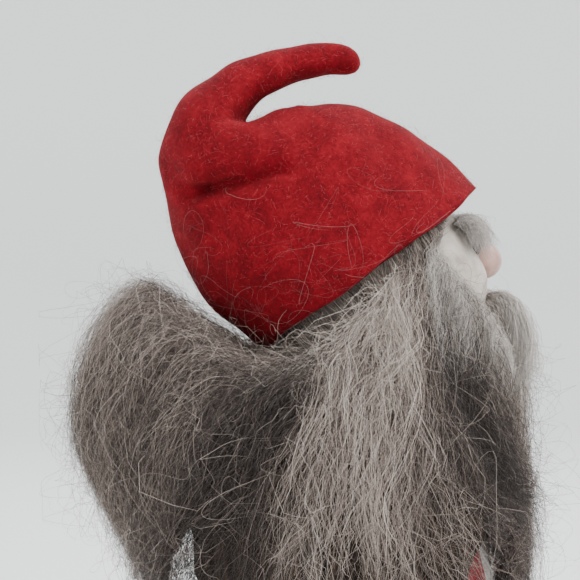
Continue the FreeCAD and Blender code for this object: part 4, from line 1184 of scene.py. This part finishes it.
# Each softened piece: the frame's solid, then voxel, smoothing, crease, crease size, material,
# slot and the seed of its creases.
SOFT = {
    "felt_sleeve": ("sleeve", 0.7, 6, 0.45, 11.0, coat_red, "red_felt_coat", 12),
    "fleece_cuff": ("cuff", 0.6, 10, 0.3, 4.0, fleece, "cuff_fleece", 13),
    "felt_mitten": ("mitten", 0.6, 14, 0.25, 7.0, mitten_grey, "mitten_felt", 14),
    "felt_boot": ("boot", 0.7, 8, 0.35, 12.0, boot_brown, "boot_felt", 15),
}


def soft_pair(kind, side, body):
    """One side of a pair from the list above."""
    source, voxel, smoothing, crease, size, material, slot, seed = SOFT[kind]
    names = f"{kind}_{side}", f"{source}_{side}"
    return soften(*names, voxel, smoothing, crease, size, material, body, slot, seed)


for side in ("left", "right"):
    arm = f"arm_{side}"
    sleeve = soft_pair("felt_sleeve", side, arm)
    cuff = soft_pair("fleece_cuff", side, arm)
    tones = rng.uniform(0, 1, CURLS)
    curls = f"fleece_cuff_curls_{side}"
    surface_fuzz(curls, cuff, CURLS, 1.8, 0.07, tones, fleece_wool, arm, "cuff_fleece")
    mitten = soft_pair("felt_mitten", side, arm)
    boot = soft_pair("felt_boot", side, "trunk")
    print(sleeve.name, "one face", round(cloth_area(sleeve), 5), "m2")
collar_piece = soften("felt_collar", "collar", 0.6, 5, 0.25, 9.0, coat_red, "trunk", "red_felt_coat", 16)
print(collar_piece.name, "one face", round(cloth_area(collar_piece), 5), "m2")
coat_fuzz = wool("red_coat_fuzz", (0.0, "#6f1620"), (1.0, "#a84a52"))
tones = rng.uniform(0, 1, COAT_FUZZ)
surface_fuzz("coat_fuzz", coat_piece, COAT_FUZZ, 1.0, 0.028, tones, coat_fuzz, "trunk", "red_felt_coat")

# %% [markdown]
# The belt is one strap of brown leather a centimetre wide, with a line of stitches along both
# edges, and a brass buckle. Leather shows pores and fine creases and is shinier where it was
# rubbed. Its edges are turned, so the strap's section is a rectangle with rounded corners.

# %% Belt
BELT_WIDE, BELT_THICK, STITCH_LONG = 10.0, 1.8, 2.4


def leather(name, dark, body, worn):
    """Vegetable-tanned leather: pores, soft creases and a rubbed shine."""
    material, tree, bsdf = new_material(name, Roughness=0.45, Specular_IOR_Level=0.45)
    place = node(tree, "TexCoord").outputs["Object"]
    wear = node(tree, "TexNoise", {"Vector": place}, Scale=per_metre(5.0), Detail=5.0)
    shade = node(tree, "ValToRGB", {"Fac": wear.outputs["Fac"]}, [(0.3, dark), (0.5, body), (0.72, worn)])
    tree.links.new(shade.outputs["Color"], bsdf.inputs["Base Color"])
    pores = node(tree, "TexVoronoi", {"Vector": place}, feature="DISTANCE_TO_EDGE", Scale=per_metre(0.7))
    bump = node(tree, "Bump", {"Height": pores.outputs["Distance"]}, Strength=0.4, Distance=0.15 * MM)
    tree.links.new(bump.outputs["Normal"], bsdf.inputs["Normal"])
    limits = {"From_Min": 0.3, "From_Max": 0.7, "To_Min": 0.62, "To_Max": 0.4}
    shine = node(tree, "MapRange", {"Value": wear.outputs["Fac"]}, **limits)
    tree.links.new(shine.outputs["Result"], bsdf.inputs["Roughness"])
    return material


belt_leather = leather("brown_vegetable_tanned_leather", "#2b1a10", "#4a2e1c", "#6d482c")
belt_mid = float(middle("belt").z)
belt_out = node_size("belt").x / 2
section = []
for a in np.linspace(0, 2 * math.pi, 24, endpoint=False):
    cosine, sine = math.cos(a), math.sin(a)
    square = (abs(cosine) ** 5 + abs(sine) ** 5) ** -0.2
    section.append((cosine * square * BELT_THICK / 2, sine * square * BELT_WIDE / 2))
section = np.array(section) * MM
turn = np.linspace(0, 2 * math.pi, 180, endpoint=False)[:, None]
belt_reach = belt_out - BELT_THICK / 2 * MM - 0.1 * MM + section[:, 0]
belt_height = np.broadcast_to(belt_mid + section[:, 1], (len(turn), len(section)))
belt_rings = np.stack([-np.sin(turn) * belt_reach, -np.cos(turn) * belt_reach, belt_height], axis=-1)
belt_mesh = grid_mesh("leather_belt", np.concatenate([belt_rings, belt_rings[:1]]))
belt_mesh.materials.append(belt_leather)
belt_piece = add("leather_belt", belt_mesh, "trunk", "belt_leather", "belt")
weld = belt_piece.modifiers.new("join", "WELD")
weld.merge_threshold = 0.01 * MM
graph = bpy.context.evaluated_depsgraph_get()
belt_piece.data = bpy.data.meshes.new_from_object(belt_piece.evaluated_get(graph))
belt_piece.modifiers.clear()

STITCH_ROW, BUCKLE_GAP, STITCHES = 3.8, 0.16, 108
stitches = []
bow = belt_out + (0.02 + 0.12 * np.cos(np.linspace(-1.5, 1.5, 5))) * MM
for height in (-STITCH_ROW, STITCH_ROW):
    level = np.full(5, belt_mid + height * MM)
    for a in np.linspace(BUCKLE_GAP, 2 * math.pi - BUCKLE_GAP, STITCHES):
        arc = a + np.linspace(-0.5, 0.5, 5) * STITCH_LONG * 0.8 / (belt_out / MM)
        stitches.append(np.stack([-np.sin(arc) * bow, -np.cos(arc) * bow, level], axis=-1))
tones = np.full(len(stitches), 0.5)
add_fibres("belt_stitches", np.array(stitches), 0.22 * MM, tones, fleece_wool, "trunk", "belt_leather")

# %% [markdown]
# ## Wood, brass, wire and hidden stuffing
#
# The frame's rigid parts have the right shapes already, so they stay and only get materials: birch
# plywood for the disc, turned beech for the dowels, brass, steel wire and glass beads. What is
# hidden inside, such as the wadding and the ballast bag, gets its cloth too.

# %% Materials for the parts that stay
def wood(name, dark, body, light, grain, along=(1.0, 1.0, 0.08)):
    """Close-grained wood: fine streaks along the grain, slightly glossy from wax."""
    material, tree, bsdf = new_material(name, Roughness=0.55, Specular_IOR_Level=0.4)
    place = node(tree, "TexCoord").outputs["Object"]
    stretch = node(tree, "Mapping", {"Vector": place}, Scale=along)
    size = {"Scale": per_metre(grain), "Detail": 6.0, "Distortion": 0.6}
    streak = node(tree, "TexNoise", {"Vector": stretch.outputs[0]}, **size)
    shade = node(tree, "ValToRGB", {"Fac": streak.outputs["Fac"]}, [(0.35, dark), (0.5, body), (0.66, light)])
    tree.links.new(shade.outputs["Color"], bsdf.inputs["Base Color"])
    bump = node(tree, "Bump", {"Height": streak.outputs["Fac"]}, Strength=0.2, Distance=0.1 * MM)
    tree.links.new(bump.outputs["Normal"], bsdf.inputs["Normal"])
    return material


def metal(name, colour, dark, roughness):
    """Bare metal with fine scratches and a little tarnish."""
    material, tree, bsdf = new_material(name, Metallic=1.0, Roughness=roughness)
    place = node(tree, "TexCoord").outputs["Object"]
    tarnish = node(tree, "TexNoise", {"Vector": place}, Scale=per_metre(3.0), Detail=6.0)
    shade = node(tree, "ValToRGB", {"Fac": tarnish.outputs["Fac"]}, [(0.35, dark), (0.6, colour)])
    tree.links.new(shade.outputs["Color"], bsdf.inputs["Base Color"])
    spread = {"To_Min": roughness + 0.2, "To_Max": roughness - 0.1}
    rough = node(tree, "MapRange", {"Value": tarnish.outputs["Fac"]}, **spread)
    tree.links.new(rough.outputs["Result"], bsdf.inputs["Roughness"])
    return material


def glass_bead():
    """Black glass: dark, with a sharp highlight."""
    material, tree, bsdf = new_material("black_glass_bead", Roughness=0.08, Specular_IOR_Level=0.5)
    place = node(tree, "TexCoord").outputs["Object"]
    swirl = node(tree, "TexNoise", {"Vector": place}, Scale=per_metre(2.0))
    shade = node(tree, "ValToRGB", {"Fac": swirl.outputs["Fac"]}, [(0.3, "#070606"), (0.7, "#1b1614")])
    tree.links.new(shade.outputs["Color"], bsdf.inputs["Base Color"])
    return material


plywood = wood("birch_plywood", "#a5814f", "#c9a877", "#dcc193", 2.5, (0.1, 1.0, 1.0))
beech = wood("turned_beech", "#a97f55", "#c79f73", "#d9b78d", 1.6)
calico = cotton("unbleached_calico", "#b8ad98", "#cfc5b0", "#ddd4c1")
wadding = cotton("polyester_wadding", "#c9c8c4", "#dddcd8", "#ecebe8", 2.0)
brass = metal("polished_brass", "#c9a24e", "#8a6a2c", 0.28)
steel = metal("steel_wire", "#9a9b9c", "#5f6062", 0.35)
bead = glass_bead()
sole = leather("dark_sole_leather", "#1d1510", "#33251b", "#4b3829")
STAYING = {
    plywood: ["base_disc"],
    beech: ["spine_dowel", "shoulder_block", "neck_dowel", "head_core", "arm_disc_left", "arm_disc_right"],
    calico: ["ballast_bag"],
    wadding: ["body_wadding", "arm_wadding_left", "arm_wadding_right"],
    brass: ["belt_buckle", "buckle_prong", "shoulder_pin_left", "shoulder_pin_right"],
    steel: ["cap_wire"],
    bead: ["eye_left", "eye_right"],
    sole: ["boot_sole_left", "boot_sole_right"],
}
for material, nodes in STAYING.items():
    for label in nodes:
        for holder in bpy.data.objects[label].material_slots:
            holder.material = material
    print(material.name, "on", len(nodes), "parts")
